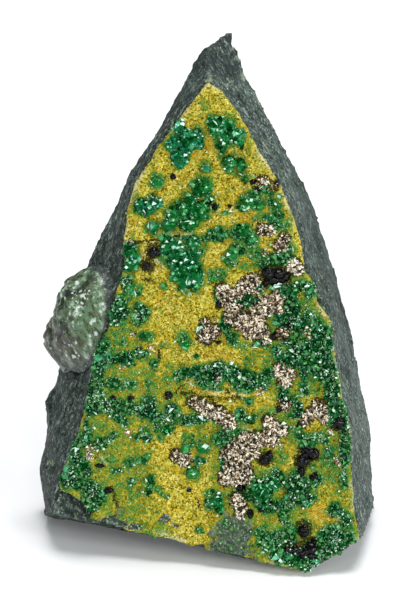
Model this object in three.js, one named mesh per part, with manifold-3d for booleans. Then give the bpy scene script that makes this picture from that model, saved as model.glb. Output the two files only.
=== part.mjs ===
// A miniature mineral specimen: a steep wedge of dark sulphide rock that stands on its broken foot.
// Its leaning front face carries an ochre druse, and green, tan and black crystals grow on that.
// Millimetres, +Z up, +X to the right of the crusted face, +Y away from it.
import * as THREE from "three";
import { mergeVertices } from "three/addons/utils/BufferGeometryUtils.js";
import Module from "manifold-3d";

const wasm = await Module();
wasm.setup();

// ---- driving dimensions ----
const faceLean = 0.25; // how far the crusted face goes back for each millimetre of height
const faceTurn = 0.1; // how far it comes forward for each millimetre to the right
const faceZeroX = 9.3; // where the face meets the ground, at its lowest corner
const crustThickness = 0.7;
const fitGap = 0.3; // clearance left between neighbouring pieces
const druseThickness = 0.6; // a carpet of small crystals
const rockTop = 44.1;
const backBulge = 3.6; // how far the hidden back swells beyond its two edges, at the foot
const rockRoughness = 0.3;
const drawDepth = 60; // length of the tools that cut an outline through the face

const columns = { front: 8, right: 5, back: 8, left: 5 };
const columnCount = columns.front + columns.right + columns.back + columns.left;
const rowHeights = [];
for (let z = 0; z <= 40; z += 2) rowHeights.push(z);
rowHeights.push(41, 43, rockTop);

// The four upright edges of the rock, each point [height, x] or [height, x, y].
// The two front edges lie on the face up to its tip, then run back along one crest to the summit.
const crest = [[43, 0.2, 14.9], [rockTop, 2.2, 17.3]];
const leftFrontEdge = [
  [0, -13.4], [4, -13.3], [6, -13], [7, -12.6], [9.6, -11.6], [12, -10.7], [15, -9.9], [18, -9.6],
  [19.6, -8.4], [22, -8], [25, -7], [27.8, -7], [29.8, -6.7], [32, -6.1], [35, -4.3], [37.8, -2.1], [40.8, 0.1],
];
const rightFrontEdge = [
  [0, 14.4], [2.6, 13.7], [5.2, 13.1], [8.6, 12.8], [12, 12.8], [15.3, 11.9], [19, 11.3], [21, 11.1],
  [23.9, 9.8], [25, 8.8], [27.3, 8.5], [30, 7.7], [33, 6.2], [35.6, 4.5], [37.9, 3.2], [40.8, 0.6],
];
const rightBackEdge = [
  [0, 15.8, 15], [4.4, 15.6, 15.5], [7.4, 15.5, 15.5], [10.9, 14.6, 16], [14.7, 13.9, 16.3], [18.6, 12.9, 16.6],
  [23.2, 11.6, 16.9], [29, 9.6, 17.4], [32, 8.1, 17.5], [35.4, 6.2, 17.5], [40.2, 3.9, 17.5], [42.4, 3.1, 17.5],
  [rockTop, 2.5, 17.5],
];
const leftBackEdge = [
  [0, -14.6, 13.6], [4.4, -15.1, 13.6], [7.4, -14.5, 13.5], [10.1, -14.5, 13.7], [12, -13.8, 14], [15.3, -13, 14.3],
  [19, -12, 14.6], [22.6, -10.8, 14.8], [25.7, -9.6, 15], [28, -8.3, 15], [30.2, -7.4, 15], [33, -6, 14.9],
  [35, -4.6, 14.8], [37.7, -3, 14.8], [40.4, -1.7, 15], [43, -0.2, 15.4], [rockTop, 2.1, 17.5],
];

// ---- solids ----

// A closed three.js geometry as a solid that can be joined and cut.
function solidOf(geometry) {
  const bare = geometry.clone();
  bare.deleteAttribute("normal");
  bare.deleteAttribute("uv");
  const merged = mergeVertices(bare, 1e-4);
  const mesh = new wasm.Mesh({
    numProp: 3,
    vertProperties: merged.attributes.position.array,
    triVerts: new Uint32Array(merged.index.array),
  });
  return new wasm.Manifold(mesh);
}

function geometryOf(solid) {
  const mesh = solid.getMesh();
  const geometry = new THREE.BufferGeometry();
  geometry.setAttribute("position", new THREE.BufferAttribute(mesh.vertProperties, 3));
  geometry.setIndex(new THREE.BufferAttribute(mesh.triVerts, 1));
  geometry.computeVertexNormals();
  return geometry;
}

// Moves every vertex of a geometry to the place that moved(point) gives.
function reshape(geometry, moved) {
  const position = geometry.attributes.position;
  const point = new THREE.Vector3();
  for (let i = 0; i < position.count; i++) {
    point.fromBufferAttribute(position, i);
    moved(point);
    position.setXYZ(i, point.x, point.y, point.z);
  }
  return geometry;
}

// A cut leaves crumbs where it only grazes a piece, so the piece is its largest body.
function largestBody(solid) {
  return solid.decompose().reduce((best, body) => (body.volume() > best.volume() ? body : best));
}

// ---- the face, and layers that follow it ----

// Low swells of the crusted face.
function swell(x, z) {
  return 0.16 * Math.sin(0.62 * x + 0.23 * z) + 0.12 * Math.sin(0.41 * z - 0.5 * x + 1.3);
}

// The depth y of the crust's outer surface at x and height z.
function faceDepth(x, z) {
  return faceLean * z + faceTurn * (faceZeroX - x) + swell(x, z);
}

const rockFaceDepth = (x, z) => faceDepth(x, z) + crustThickness + fitGap;

const faceWidth = { from: -15, to: 16 };
const faceHeight = { from: -2, to: 43 };

// A sheet over the whole face, between two distances in front of the crust's outer surface.
function layer(outer, inner) {
  const sheet = new THREE.BoxGeometry(1, 1, 1, 11, 1, 15);
  reshape(sheet, (p) => {
    const x = THREE.MathUtils.lerp(faceWidth.from, faceWidth.to, p.x + 0.5);
    const z = THREE.MathUtils.lerp(faceHeight.from, faceHeight.to, p.z + 0.5);
    p.set(x, faceDepth(x, z) - (p.y < 0 ? outer : inner), z);
  });
  return solidOf(sheet);
}

// A tool that keeps or removes what lies inside an outline of [x, z] points, seen along Y.
function through(outline) {
  const shape = new THREE.Shape(outline.map(([x, z]) => new THREE.Vector2(x, z)));
  const tool = new THREE.ExtrudeGeometry(shape, { depth: drawDepth, bevelEnabled: false });
  tool.rotateX(Math.PI / 2);
  tool.translate(0, drawDepth / 2, 0);
  return solidOf(tool);
}

// A tool that removes everything under the plane through three points.
function under(a, b, c) {
  const plane = new THREE.Plane().setFromCoplanarPoints(a, b, c);
  if (plane.normal.z > 0) plane.negate();
  const tool = new THREE.BoxGeometry(drawDepth, drawDepth, drawDepth / 2);
  tool.translate(0, 0, drawDepth / 4);
  tool.applyQuaternion(new THREE.Quaternion().setFromUnitVectors(new THREE.Vector3(0, 0, 1), plane.normal));
  tool.translate(a.x, a.y, a.z);
  return solidOf(tool);
}

const footTip = new THREE.Vector3(9.2, 0.6, 0);
const footCuts = [
  under(new THREE.Vector3(-10.7, 3, 3.3), footTip, new THREE.Vector3(-9.5, 9.5, 0)),
  under(footTip, new THREE.Vector3(13.6, 0.3, 2.6), new THREE.Vector3(15.7, 14, 0.8)),
];
const trimFoot = (solid) => footCuts.reduce((rest, tool) => rest.subtract(tool), solid);

// ---- the rock ----

function pointOnEdge(edge, z) {
  const above = Math.max(1, edge.findIndex((point) => point[0] >= z));
  const [low, high] = [edge[above - 1], edge[above]];
  const share = (z - low[0]) / (high[0] - low[0]);
  return new THREE.Vector3(
    THREE.MathUtils.lerp(low[1], high[1], share),
    THREE.MathUtils.lerp(low[2], high[2], share),
    z,
  );
}

const onFace = ([z, x]) => [z, x, rockFaceDepth(x, z)];
const uprightEdges = [
  [...leftFrontEdge.map(onFace), ...crest],
  [...rightFrontEdge.map(onFace), ...crest.map(([z, x, y]) => [z, x + 0.3, y])],
  rightBackEdge,
  leftBackEdge,
];
const faceTip = 40.8;

// Uneven fracture, the same at every place each time.
function fracture(p) {
  const coarse = Math.sin(0.9 * p.x + 1.7 * p.y) * Math.sin(0.7 * p.z + 0.4 * p.y);
  const fine = Math.sin(2.3 * p.z + 1.1 * p.x) * Math.sin(1.9 * p.y - 0.8 * p.z);
  return rockRoughness * (coarse + 0.6 * fine);
}

// A point of the rock's side: columns run from the front's left edge round by the right and the back.
function wallPoint(column, z) {
  const counts = Object.values(columns);
  let side = 0;
  let within = column % columnCount;
  while (within >= counts[side]) within -= counts[side++];
  const share = within / counts[side];
  const from = pointOnEdge(uprightEdges[side], z);
  const to = pointOnEdge(uprightEdges[(side + 1) % 4], z);
  const point = from.clone().lerp(to, share);
  const away = new THREE.Vector3(to.y - from.y, from.x - to.x, 0).normalize();
  if (side === 0) {
    if (z < faceTip) point.y = rockFaceDepth(point.x, z);
    return point;
  }
  const arch = 4 * share * (1 - share);
  const bulge = side === 2 ? backBulge * (1 - z / rockTop) : 0.35 * (1 - z / rockTop);
  return point.addScaledVector(away, arch * (bulge + fracture(point)));
}

function buildRock() {
  const body = new THREE.CylinderGeometry(1, 1, 1, columnCount, rowHeights.length - 1);
  reshape(body, (p) => {
    const z = rowHeights[Math.round((p.y + 0.5) * (rowHeights.length - 1))];
    if (Math.hypot(p.x, p.z) < 0.5) {
      const corners = uprightEdges.map((edge) => pointOnEdge(edge, z));
      p.copy(corners.reduce((sum, corner) => sum.add(corner), new THREE.Vector3()).divideScalar(4));
      return;
    }
    const turn = (Math.atan2(p.x, p.z) / (2 * Math.PI) + 1) % 1;
    p.copy(wallPoint(Math.round(turn * columnCount), z));
  });
  return trimFoot(solidOf(body));
}

// ---- the quartz lump on the left flank ----

// Each lobe is [centre, reach across, along and up the flank, lean of its top into the rock in radians].
const quartzLobes = [
  [[-10.7, 11, 19.6], [2.4, 4.2, 4.7], 0.32],
  [[-12.3, 12.4, 16.9], [2.1, 2.6, 2.7], 0.1],
];
const flankTurn = 0.42; // radians from Y, so that the lobes lie along the flank

function quartzLobe([centre, [across, along, up], lean], extra) {
  const lobe = new THREE.IcosahedronGeometry(1, 3);
  reshape(lobe, (p) => {
    p.multiplyScalar(1 + 0.06 * Math.sin(5 * p.x + 3 * p.z) * Math.cos(4 * p.y + 2 * p.z));
    p.set(p.x * (across + extra), p.y * (along + extra), p.z * (up + extra));
  });
  lobe.rotateY(lean);
  lobe.rotateZ(flankTurn);
  lobe.translate(...centre);
  return solidOf(lobe);
}

function quartzLump(extra) {
  return quartzLobes.map((lobe) => quartzLobe(lobe, extra)).reduce((whole, lobe) => whole.add(lobe));
}

// ---- crystals on the crust ----

const faceNormal = new THREE.Vector3(-faceTurn, -1, faceLean).normalize();
const behindCrustFront = layer(fitGap, -6);

// One low six-sided mound of crystals, turned by its place so that no two look alike.
function mound([x, z, radius], height) {
  const profile = [[0, -0.6], [0.98, -0.15], [0.82, 0.55], [0, 1]];
  const lump = new THREE.LatheGeometry(
    profile.map(([r, h]) => new THREE.Vector2(r * radius, h * height)),
    6,
  );
  lump.rotateY(3 * x + 5 * z);
  lump.applyQuaternion(new THREE.Quaternion().setFromUnitVectors(new THREE.Vector3(0, 1, 0), faceNormal));
  lump.translate(x, faceDepth(x, z) - fitGap, z);
  return solidOf(lump);
}

function buildCluster(mounds, tallness) {
  const joined = mounds
    .map((place) => mound(place, place[2] * tallness))
    .reduce((whole, lump) => whole.add(lump));
  return largestBody(trimFoot(joined.subtract(behindCrustFront)));
}

// What a cluster covers of the face, with clearance round it.
function footprint(mounds) {
  return mounds
    .map(([x, z, radius]) => {
      const post = new THREE.CylinderGeometry(radius + fitGap, radius + fitGap, drawDepth, 8);
      post.translate(x, 0, z);
      return solidOf(post);
    })
    .reduce((whole, post) => whole.add(post));
}

// Mounds are [x, z, radius] on the face. Crystals that touch are one cluster.
const greenClusters = {
  green_crown_left: [[-2.5, 35.6, 0.8], [-1.5, 35.9, 0.8], [-0.6, 36.2, 0.6], [-2.1, 34.5, 0.7], [-2.3, 36.6, 0.6]],
  green_crown_right: [[1, 37.3, 0.7], [2.1, 37.3, 0.6], [2.3, 36.4, 0.6], [3.1, 36.3, 0.4], [1.6, 35.8, 0.6]],
  green_shoulder: [[2.3, 34, 0.6], [3.1, 33.7, 0.6]],
  green_upper_knob: [[-0.2, 32.1, 0.8]],
  green_upper_mass: [
    [-1.6, 30.6, 0.8], [-0.6, 29.8, 1], [-1.7, 29.6, 0.8], [-2.7, 29.8, 0.7], [0.4, 30.5, 0.6], [-1.1, 28.9, 0.6],
    [-2.9, 28.9, 0.6],
  ],
  green_left_pair: [[-5.6, 30.3, 0.5], [-4.5, 30.5, 0.6], [-5, 30.1, 0.5]],
  green_middle_mass: [
    [-3, 27.1, 0.6], [-2, 27.2, 0.7], [-1, 27.4, 0.6], [-1.6, 26.2, 0.7], [-1, 25.3, 0.8], [-1.9, 24.6, 0.7],
    [-0.7, 24.2, 0.7], [-1.7, 23.7, 0.5],
  ],
  green_left_rim: [[-6.3, 26.2, 0.6], [-6.4, 25.3, 0.6]],
  green_right_trio: [[3.6, 30.7, 0.6], [4.2, 31.2, 0.5], [4.7, 30.8, 0.5]],
  green_right_pair: [[3.6, 28.4, 0.5], [3.1, 27.8, 0.5], [4.1, 27.8, 0.5]],
  green_low_group: [[5.3, 7.1, 0.6], [5.9, 6.4, 0.7], [5.1, 6, 0.5]],
  green_low_rosette: [[0.9, 5.6, 0.8]],
};
const greenSingles = {
  green_single_tip: [0.2, 33.6, 0.4],
  green_single_left: [-4.1, 32.4, 0.5],
  green_single_shelf: [-4.4, 28.5, 0.5],
  green_single_wedge: [2.3, 25.9, 0.5],
  green_single_rim: [-6, 23.2, 0.5],
  green_single_belly: [-1.8, 19.2, 0.4],
  green_single_low_a: [-1.4, 10.4, 0.5],
  green_single_low_b: [-0.1, 10.1, 0.5],
  green_single_low_c: [-0.9, 7.8, 0.5],
};
const tanClusters = {
  tan_top: [[5.1, 32.5, 0.5], [5.8, 32.2, 0.4]],
  tan_upper_bar: [[5, 28.6, 0.4], [5.6, 28.6, 0.4]],
  tan_upper_lump: [[6.9, 27.9, 0.4], [6.6, 27.3, 0.5]],
  tan_rim: [[7.7, 25.8, 0.5], [8.1, 25.3, 0.4]],
  tan_heart: [
    [1.6, 23.4, 0.6], [2, 22.6, 0.7], [2.8, 23, 0.6], [3.6, 23.7, 0.7], [4.3, 24.2, 0.6], [2.8, 21.8, 0.8],
    [2.3, 21, 0.6], [3.4, 20.7, 0.8], [4.5, 21.1, 0.8], [4.4, 22.6, 0.6], [5.4, 22, 0.8], [6.4, 22.8, 0.6],
    [6.6, 22, 0.6], [4.1, 19.9, 0.6], [5, 20, 0.6], [5.3, 19.4, 0.5],
  ],
  tan_round: [[6.8, 19.9, 0.5]],
  tan_oval: [[0.2, 19.6, 0.7], [0.9, 20, 0.5], [0.1, 20.5, 0.4]],
  tan_right: [[6.6, 16.8, 0.6], [7.3, 16.5, 0.6], [6.9, 15.8, 0.5]],
  tan_brown: [[7, 13.9, 0.5]],
  tan_stripe: [[-1, 13.8, 0.4], [-0.4, 13.6, 0.5], [0.4, 13.3, 0.6], [1.3, 12.9, 0.6], [2.1, 12.4, 0.6]],
  tan_claw: [[8.8, 12.6, 0.5], [9.3, 13.2, 0.5], [9.9, 13.8, 0.6], [10.4, 13.1, 0.5]],
  tan_mass: [
    [5.6, 12.5, 0.5], [6.1, 11.9, 0.5], [6.7, 11.7, 0.5], [5.6, 11.1, 0.7], [4.6, 11, 0.6], [3.6, 10.8, 0.7],
    [2.7, 10.2, 0.7], [4.1, 9.9, 0.6], [2, 9.6, 0.5], [3.1, 9.3, 0.7], [2.4, 8.5, 0.7], [3.5, 8.5, 0.6],
    [1.9, 7.5, 0.6], [2.8, 7.6, 0.6], [3.7, 7.7, 0.5],
  ],
  tan_foot: [[2.9, 5.7, 0.6], [3.2, 5, 0.5], [3, 4.4, 0.3]],
  tan_pebble: [[-2.4, 9.2, 0.5], [-1.7, 8.9, 0.5]],
};
const blackClusters = {
  black_vug: [[5.6, 25, 0.6], [6.4, 24.9, 0.6]],
  black_shelf: [[-4.4, 26.5, 0.5]],
  black_ball: [[-4.9, 25.3, 0.5]],
  black_right: [[11.6, 12.4, 0.6]],
  black_pair: [[8.9, 10, 0.6], [8.5, 9.2, 0.6]],
  black_bead: [[8.6, 3.7, 0.5]],
  black_foot: [[7.8, 2, 0.5], [8.5, 1.9, 0.5], [9.2, 2.2, 0.6]],
  black_hollow: [[5.3, 9.3, 0.5]],
};

// Carpets of small green crystals, each inside an outline of [x, z] points.
const greenCarpets = {
  carpet_right: [
    [7.4, 24], [8.7, 23.9], [9.3, 22.5], [10.6, 21], [10.9, 19], [11.4, 16.8], [11.7, 15.1], [12.3, 12.9],
    [12, 11.2], [10.4, 11.6], [8, 14.6], [7.9, 17.6], [6.2, 18.2], [7.8, 19.4], [7.4, 21.4],
  ],
  carpet_left: [
    [-7.8, 22], [-6.4, 21.8], [-4.9, 21.7], [-4.7, 20.2], [-5.6, 19.4], [-4.4, 18.6], [-5, 17.8], [-9.3, 17],
    [-9.2, 18], [-8, 19.6],
  ],
  carpet_left_low: [
    [-9.5, 16.4], [-7.6, 16.3], [-6.7, 14.8], [-5.4, 14], [-3.4, 14.2], [-2, 13.2], [-2.2, 12.4], [-6.5, 12.1],
    [-10, 12], [-10, 14],
  ],
  carpet_belt: [
    [-2.8, 16.5], [-1.2, 17.2], [0.9, 17.8], [3.1, 17.5], [5, 16.8], [4.6, 15.5], [2.8, 15.6], [0.5, 15.6],
    [-1.6, 15.5],
  ],
  carpet_corner: [
    [-10.6, 11.4], [-9.4, 10.9], [-9.9, 9.2], [-9, 7.9], [-8.4, 6.5], [-8.3, 4.8], [-9.3, 4.6], [-10.5, 5.6],
    [-12.2, 6.3], [-12.3, 7.1], [-11.4, 9.6],
  ],
  carpet_foot: [
    [7.1, 7.8], [9.6, 7.6], [9.9, 5.9], [8.3, 4.8], [10.2, 4.2], [12.2, 5.2], [13, 3.7], [13.1, 2.8],
    [10.9, 1.5], [9.2, 0.7], [5.3, 1.3], [4.6, 2.4], [5, 4.2], [7.2, 5],
  ],
  carpet_rim: [[11.8, 10.6], [12.4, 10.4], [12.4, 8.6], [12.8, 6.1], [11.9, 6.4], [11.1, 7.8], [11.4, 9.4]],
};

// The crust's edge: up the left side, down the right, and back along the foot.
const crustOutline = [
  [-12.6, 6], [-12.5, 7], [-11.5, 9.6], [-10.6, 12], [-9.8, 15], [-9.5, 17.9], [-8.3, 19.6], [-7.9, 22],
  [-6.9, 25], [-6.9, 27.8], [-6.6, 29.8], [-6, 32], [-4.2, 34.9], [-2, 37.8], [0.3, 40.7], [1.5, 40], [3.1, 37.9],
  [4.4, 35.6], [6.1, 33], [7.6, 30], [8.4, 27.3], [8.7, 25], [9.7, 23.9], [9.8, 22.5], [11, 21], [11.2, 19],
  [11.8, 15.3], [12.7, 12], [12.7, 8.6], [13, 5.2], [13.5, 2.8], [9.1, 0.3], [3.9, 1], [3.7, 3], [3, 4.1],
  [1.8, 4.2], [0.9, 3], [0.8, 1.4], [-4.6, 2.4], [-8.7, 3.1], [-10, 3.6], [-9.6, 4.3],
];

// ---- the pieces ----

const finish = (colour, roughness, metalness = 0) =>
  new THREE.MeshStandardMaterial({ color: new THREE.Color(...colour), roughness, metalness });
const finishes = {
  rock: finish([0.09, 0.1, 0.1], 0.6, 0.2),
  ochre: finish([0.55, 0.35, 0.03], 0.85),
  quartz: finish([0.3, 0.35, 0.27], 0.15),
  green: finish([0.01, 0.25, 0.06], 0.1),
  tan: finish([0.5, 0.33, 0.22], 0.35),
  black: finish([0.01, 0.01, 0.012], 0.15, 0.3),
};

const specimen = new THREE.Group();

function addPiece(name, solid, material) {
  const mesh = new THREE.Mesh(geometryOf(solid), material);
  mesh.name = name;
  specimen.add(mesh);
}

addPiece("matrix_rock", buildRock().subtract(quartzLump(fitGap)), finishes.rock);
addPiece("quartz_lump", quartzLump(0), finishes.quartz);
const crust = trimFoot(layer(0, -crustThickness).intersect(through(crustOutline)));
addPiece("ochre_crust", largestBody(crust.subtract(quartzLump(fitGap))), finishes.ochre);

const mountedClusters = [
  [greenClusters, 1.1, finishes.green],
  [Object.fromEntries(Object.entries(greenSingles).map(([name, place]) => [name, [place]])), 1.2, finishes.green],
  [tanClusters, 1.1, finishes.tan],
  [blackClusters, 0.8, finishes.black],
];
let covered = null;
for (const [clusters, tallness, material] of mountedClusters) {
  for (const [name, mounds] of Object.entries(clusters)) {
    addPiece(name, buildCluster(mounds, tallness), material);
    covered = covered ? covered.add(footprint(mounds)) : footprint(mounds);
  }
}

const carpetLayer = layer(fitGap + druseThickness, fitGap);
for (const [name, outline] of Object.entries(greenCarpets)) {
  const carpet = trimFoot(carpetLayer.intersect(through(outline)).subtract(covered));
  addPiece(name, largestBody(carpet), finishes.green);
}

// The origin is under the middle of the specimen, on the surface that it stands on.
const extent = new THREE.Box3().setFromObject(specimen);
const middle = extent.getCenter(new THREE.Vector3());
specimen.position.set(-middle.x, -middle.y, -extent.min.z);

export default specimen;
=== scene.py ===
import math
import random

import bmesh
import bpy
from mathutils import Matrix, Vector, kdtree, noise
from mathutils.bvhtree import BVHTree


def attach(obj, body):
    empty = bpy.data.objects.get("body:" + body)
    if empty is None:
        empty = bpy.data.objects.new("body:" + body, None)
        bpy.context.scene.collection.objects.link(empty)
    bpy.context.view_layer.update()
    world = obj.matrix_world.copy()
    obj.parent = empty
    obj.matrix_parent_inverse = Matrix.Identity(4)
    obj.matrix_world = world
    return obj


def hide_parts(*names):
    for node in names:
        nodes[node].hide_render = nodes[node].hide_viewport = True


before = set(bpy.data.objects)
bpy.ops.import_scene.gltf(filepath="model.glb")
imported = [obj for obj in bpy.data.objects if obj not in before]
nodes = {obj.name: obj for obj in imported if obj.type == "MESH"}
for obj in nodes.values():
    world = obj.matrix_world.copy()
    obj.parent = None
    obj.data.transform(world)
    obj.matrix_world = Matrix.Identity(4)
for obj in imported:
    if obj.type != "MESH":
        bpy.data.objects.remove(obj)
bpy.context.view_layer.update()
mm = 0.001
layoutZero = Vector((-0.363, -8.651, 0))  # where the layout's own zero lies in this frame, in mm
leanX, leanZ = 0.1, 0.25  # how the crust's face leans: mm of depth for each mm to the side and up
faceNormal = Vector((-leanX, -1, leanZ)).normalized()
straightBack = Vector((0, 1, 0))
fullTurn = 6.28  # radians
seeds = {"clusters": 100, "green": 11, "ochre": 12, "tan": 41, "oddGreen": 43}

# Camera, light and world

cameraSettings = {"elevation": 17, "distance": 175, "lens": 120, "target": (0, 8, 22.05)}
floorSettings = {"width": 4, "colour": (0.95, 0.95, 0.95)}
lightSettings = {  # azimuth from the front to the right, elevation, apparent width in degrees, strength
    "overhead": (165, 80, 34, 2.35),
    "key": (40, 24, 20, 0.8),
    "glintHigh": (12, 30, 6, 0.26),
    "glintRight": (58, 16, 6, 0.35),
    "glintFront": (22, 16, 6, 0.35),
    "glintSide": (75, 20, 6, 0.28),
    "glintLow": (34, 8, 6, 0.25),
    "glintLeft": (-35, 20, 6, 0.28),
    "glintFar": (-65, 14, 6, 0.15),
}
worldSettings = {"colour": (0.87, 0.96, 1.03), "strength": 0.25}


def heading(azimuth, elevation):
    a, e = math.radians(azimuth), math.radians(elevation)
    return Vector((math.sin(a) * math.cos(e), -math.cos(a) * math.cos(e), math.sin(e)))


def addCamera(settings):
    data = bpy.data.cameras.new("camera")
    data.lens = settings["lens"]
    data.clip_start = 0.001
    camera = bpy.data.objects.new("camera", data)
    target = (Vector(settings["target"]) + layoutZero) * mm
    away = heading(0, settings["elevation"])
    camera.location = target + away * settings["distance"] * mm
    camera.rotation_euler = away.to_track_quat("Z", "Y").to_euler()
    bpy.context.scene.collection.objects.link(camera)
    bpy.context.scene.camera = camera


def addLights(settings):
    for name, (azimuth, elevation, width, strength) in settings.items():
        data = bpy.data.lights.new(name, "SUN")
        data.angle = math.radians(width)
        data.energy = strength
        light = bpy.data.objects.new(name, data)
        light.rotation_euler = heading(azimuth, elevation).to_track_quat("Z", "Y").to_euler()
        bpy.context.scene.collection.objects.link(light)


def addWorld(settings):
    world = bpy.data.worlds.new("studio")
    bpy.context.scene.world = world
    world.use_nodes = True
    background = world.node_tree.nodes["Background"]
    background.inputs["Color"].default_value = (*settings["colour"], 1)
    background.inputs["Strength"].default_value = settings["strength"]


addCamera(cameraSettings)
addLights(lightSettings)
addWorld(worldSettings)
bpy.context.scene.view_settings.view_transform = "Standard"
print("camera and lights are up")

# Materials


class Signal:  # a shader socket that Python's arithmetic works on
    def __init__(self, maker, socket):
        self.maker, self.socket = maker, socket

    def maths(self, operation, *values):
        return self.maker.node("ShaderNodeMath", {"operation": operation}, dict(enumerate(values)))

    def __add__(self, other): return self.maths("ADD", self, other)
    def __radd__(self, other): return self.maths("ADD", other, self)
    def __sub__(self, other): return self.maths("SUBTRACT", self, other)
    def __rsub__(self, other): return self.maths("SUBTRACT", other, self)
    def __mul__(self, other): return self.maths("MULTIPLY", self, other)
    def __rmul__(self, other): return self.maths("MULTIPLY", other, self)
    def __truediv__(self, other): return self.maths("DIVIDE", self, other)
    def __rtruediv__(self, other): return self.maths("DIVIDE", other, self)

    def ramp(self, low, high):  # 0 at low, 1 at high, smooth between
        return self.maker.node("ShaderNodeMapRange", {"interpolation_type": "SMOOTHSTEP"}, {
            "Value": self, "From Min": low, "From Max": high}, "Result")


def plug(tree, entry, value):
    if isinstance(value, Signal):
        tree.links.new(value.socket, entry)
    elif isinstance(value, tuple) and len(value) == 3 and entry.type == "RGBA":
        entry.default_value = (*value, 1)
    else:
        entry.default_value = value


class Finish:
    def __init__(self, name, **constants):
        self.material = bpy.data.materials.new(name)
        self.material.use_nodes = True
        self.tree = self.material.node_tree
        self.surface = self.tree.nodes["Principled BSDF"]
        for socket, value in constants.items():
            self.surface.inputs[socket.replace("_", " ")].default_value = value
        place = self.node("ShaderNodeTexCoord", output="Object")
        self.place = self.node("ShaderNodeVectorMath", {"operation": "SCALE"}, {0: place, "Scale": 1 / mm})

    def node(self, kind, settings=None, inputs=None, output=0):
        node = self.tree.nodes.new(kind)
        for key, value in (settings or {}).items():
            if key == "stops":
                for spare in range(len(value) - 2):
                    node.color_ramp.elements.new(0.5)
                for element, (position, colour) in zip(node.color_ramp.elements, value):
                    element.position, element.color = position, (*colour, 1)
            else:
                setattr(node, key, value)
        for key, value in (inputs or {}).items():
            plug(self.tree, node.inputs[key], value)
        return Signal(self, node.outputs[output])

    def shades(self, value, *stops):  # colours along a number: (position, colour) pairs
        return self.node("ShaderNodeValToRGB", {"stops": stops}, {0: value})

    def written(self, name):  # a number that the mesh carries
        return self.node("ShaderNodeAttribute", {"attribute_name": name}, output="Fac")

    def axis(self, name):
        return self.node("ShaderNodeSeparateXYZ", inputs={0: self.place}, output=name)

    def stretched(self, scale, turn=(0, 0, 0)):  # features run along the axis whose scale is small
        return self.node("ShaderNodeMapping", {"vector_type": "TEXTURE"}, {
            "Vector": self.place, "Scale": tuple(1 / s for s in scale), "Rotation": turn})

    def clouds(self, size, detail=3, roughness=0.55, place=None, distortion=0):
        return self.node("ShaderNodeTexNoise", inputs={
            "Vector": place or self.place, "Scale": 1 / size, "Detail": detail, "Roughness": roughness,
            "Distortion": distortion})

    def cells(self, size, output="Distance", feature="F1", place=None):  # SMOOTH_F1 blurs them
        return self.node("ShaderNodeTexVoronoi", {"feature": feature}, {
            "Vector": place or self.place, "Scale": 1 / size}, output)

    def cellValue(self, size, place=None, feature="F1"):  # one even number for each cell
        colour = self.cells(size, "Color", feature, place)
        return self.node("ShaderNodeSeparateColor", inputs={"Color": colour})

    def blend(self, share, low, high, kind="MIX"):
        settings = {"data_type": "RGBA", "blend_type": kind}
        return self.node("ShaderNodeMix", settings, {"Factor": share, 6: low, 7: high}, 2)

    def relief(self, height, depth, strength=1.0):  # depth in mm
        return self.node("ShaderNodeBump", inputs={
            "Height": height, "Distance": depth * mm, "Strength": strength})

    def wear(self, **links):
        for socket, value in links.items():
            plug(self.tree, self.surface.inputs[socket.replace("_", " ")], value)
        return self.material


def rockTone(rock, grain):
    broad = rock.clouds(3.5, 4)
    fine = rock.clouds(0.36, 5, 0.75, grain)
    tone = rock.blend(broad.ramp(0.35, 0.68), (0.032, 0.052, 0.044), (0.07, 0.1, 0.086))
    tone = rock.blend(fine.ramp(0.5, 0.66) * 0.85, tone, (0.24, 0.3, 0.26))
    tone = rock.blend((1 - fine.ramp(0.36, 0.5)) * 0.9, tone, (0.006, 0.013, 0.009))
    # light specks: painted glints of the rock's grains
    tone = rock.blend(rock.cellValue(0.14).ramp(0.92, 0.96) * 0.6, tone, (0.5, 0.62, 0.54))
    return tone, fine


def bareTone(finish, grain):  # where the crust is worn away: sandy on the right, slaty on the left
    tone = rockTone(finish, finish.place)[0]
    across, height = finish.axis("X"), finish.axis("Z")
    shade = finish.clouds(0.3, 4, 0.7) * 1.2 + grain * 0.7 - 0.57 + height.ramp(1.5, 4) * 0.1
    sand = finish.shades(shade, (0.0, (0.02, 0.034, 0.02)), (0.4, (0.07, 0.115, 0.068)),
                         (0.75, (0.15, 0.21, 0.14)), (1.0, (0.4, 0.46, 0.34)))
    return finish.blend(across.ramp(-2.5, -0.5) * 0.85, tone, sand)


def flankTone(rock, grain):
    tone, fine = rockTone(rock, grain)
    across, height = rock.axis("X"), rock.axis("Z")
    left = 1 - across.ramp(-5, 2)
    outer = (across + height * 0.34 + (rock.clouds(2.5, 3) - 0.5) * 2).ramp(17.7, 18.9)
    tone = rock.blend(outer * 0.75, tone, (0.03, 0.046, 0.042))
    # painted shade: the rock's left side is made darker, where less light falls
    tone = rock.blend(left * 0.4, tone, (0.009, 0.017, 0.012))
    tone = rock.blend(height.ramp(39.5, 41.5) * 0.5, tone, (0.02, 0.03, 0.03))
    tone = rock.blend(rock.cellValue(2.4, grain).ramp(0.3, 0.9) * 0.35, tone, (0.012, 0.02, 0.017))
    patchy = rock.clouds(2.2, 4, 0.6).ramp(0.36, 0.6) * 0.75 + 0.25
    for share, lean in ((left * 0.75, 0.3), (0.5 - left * 0.5, -0.36)):  # streaks run along each slope
        streak = rock.clouds(0.28, 5, 0.74, rock.stretched((1, 1, 0.28), (0, lean, 0)))
        tone = rock.blend(streak.ramp(0.56, 0.64) * share * patchy * 1.3, tone, (0.36, 0.46, 0.38))
        tone = rock.blend((1 - streak.ramp(0.37, 0.47)) * share * 1.5, tone, (0.004, 0.009, 0.005))
    fleck = rock.clouds(0.8, 4, 0.65, rock.stretched((1, 1, 0.5), (0, -0.36, 0)))
    region = rock.clouds(2.6, 3, 0.5).ramp(0.5, 0.62)
    return rock.blend(fleck.ramp(0.58, 0.66) * region * 0.75, tone, (0.36, 0.4, 0.22)), fine


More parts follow.
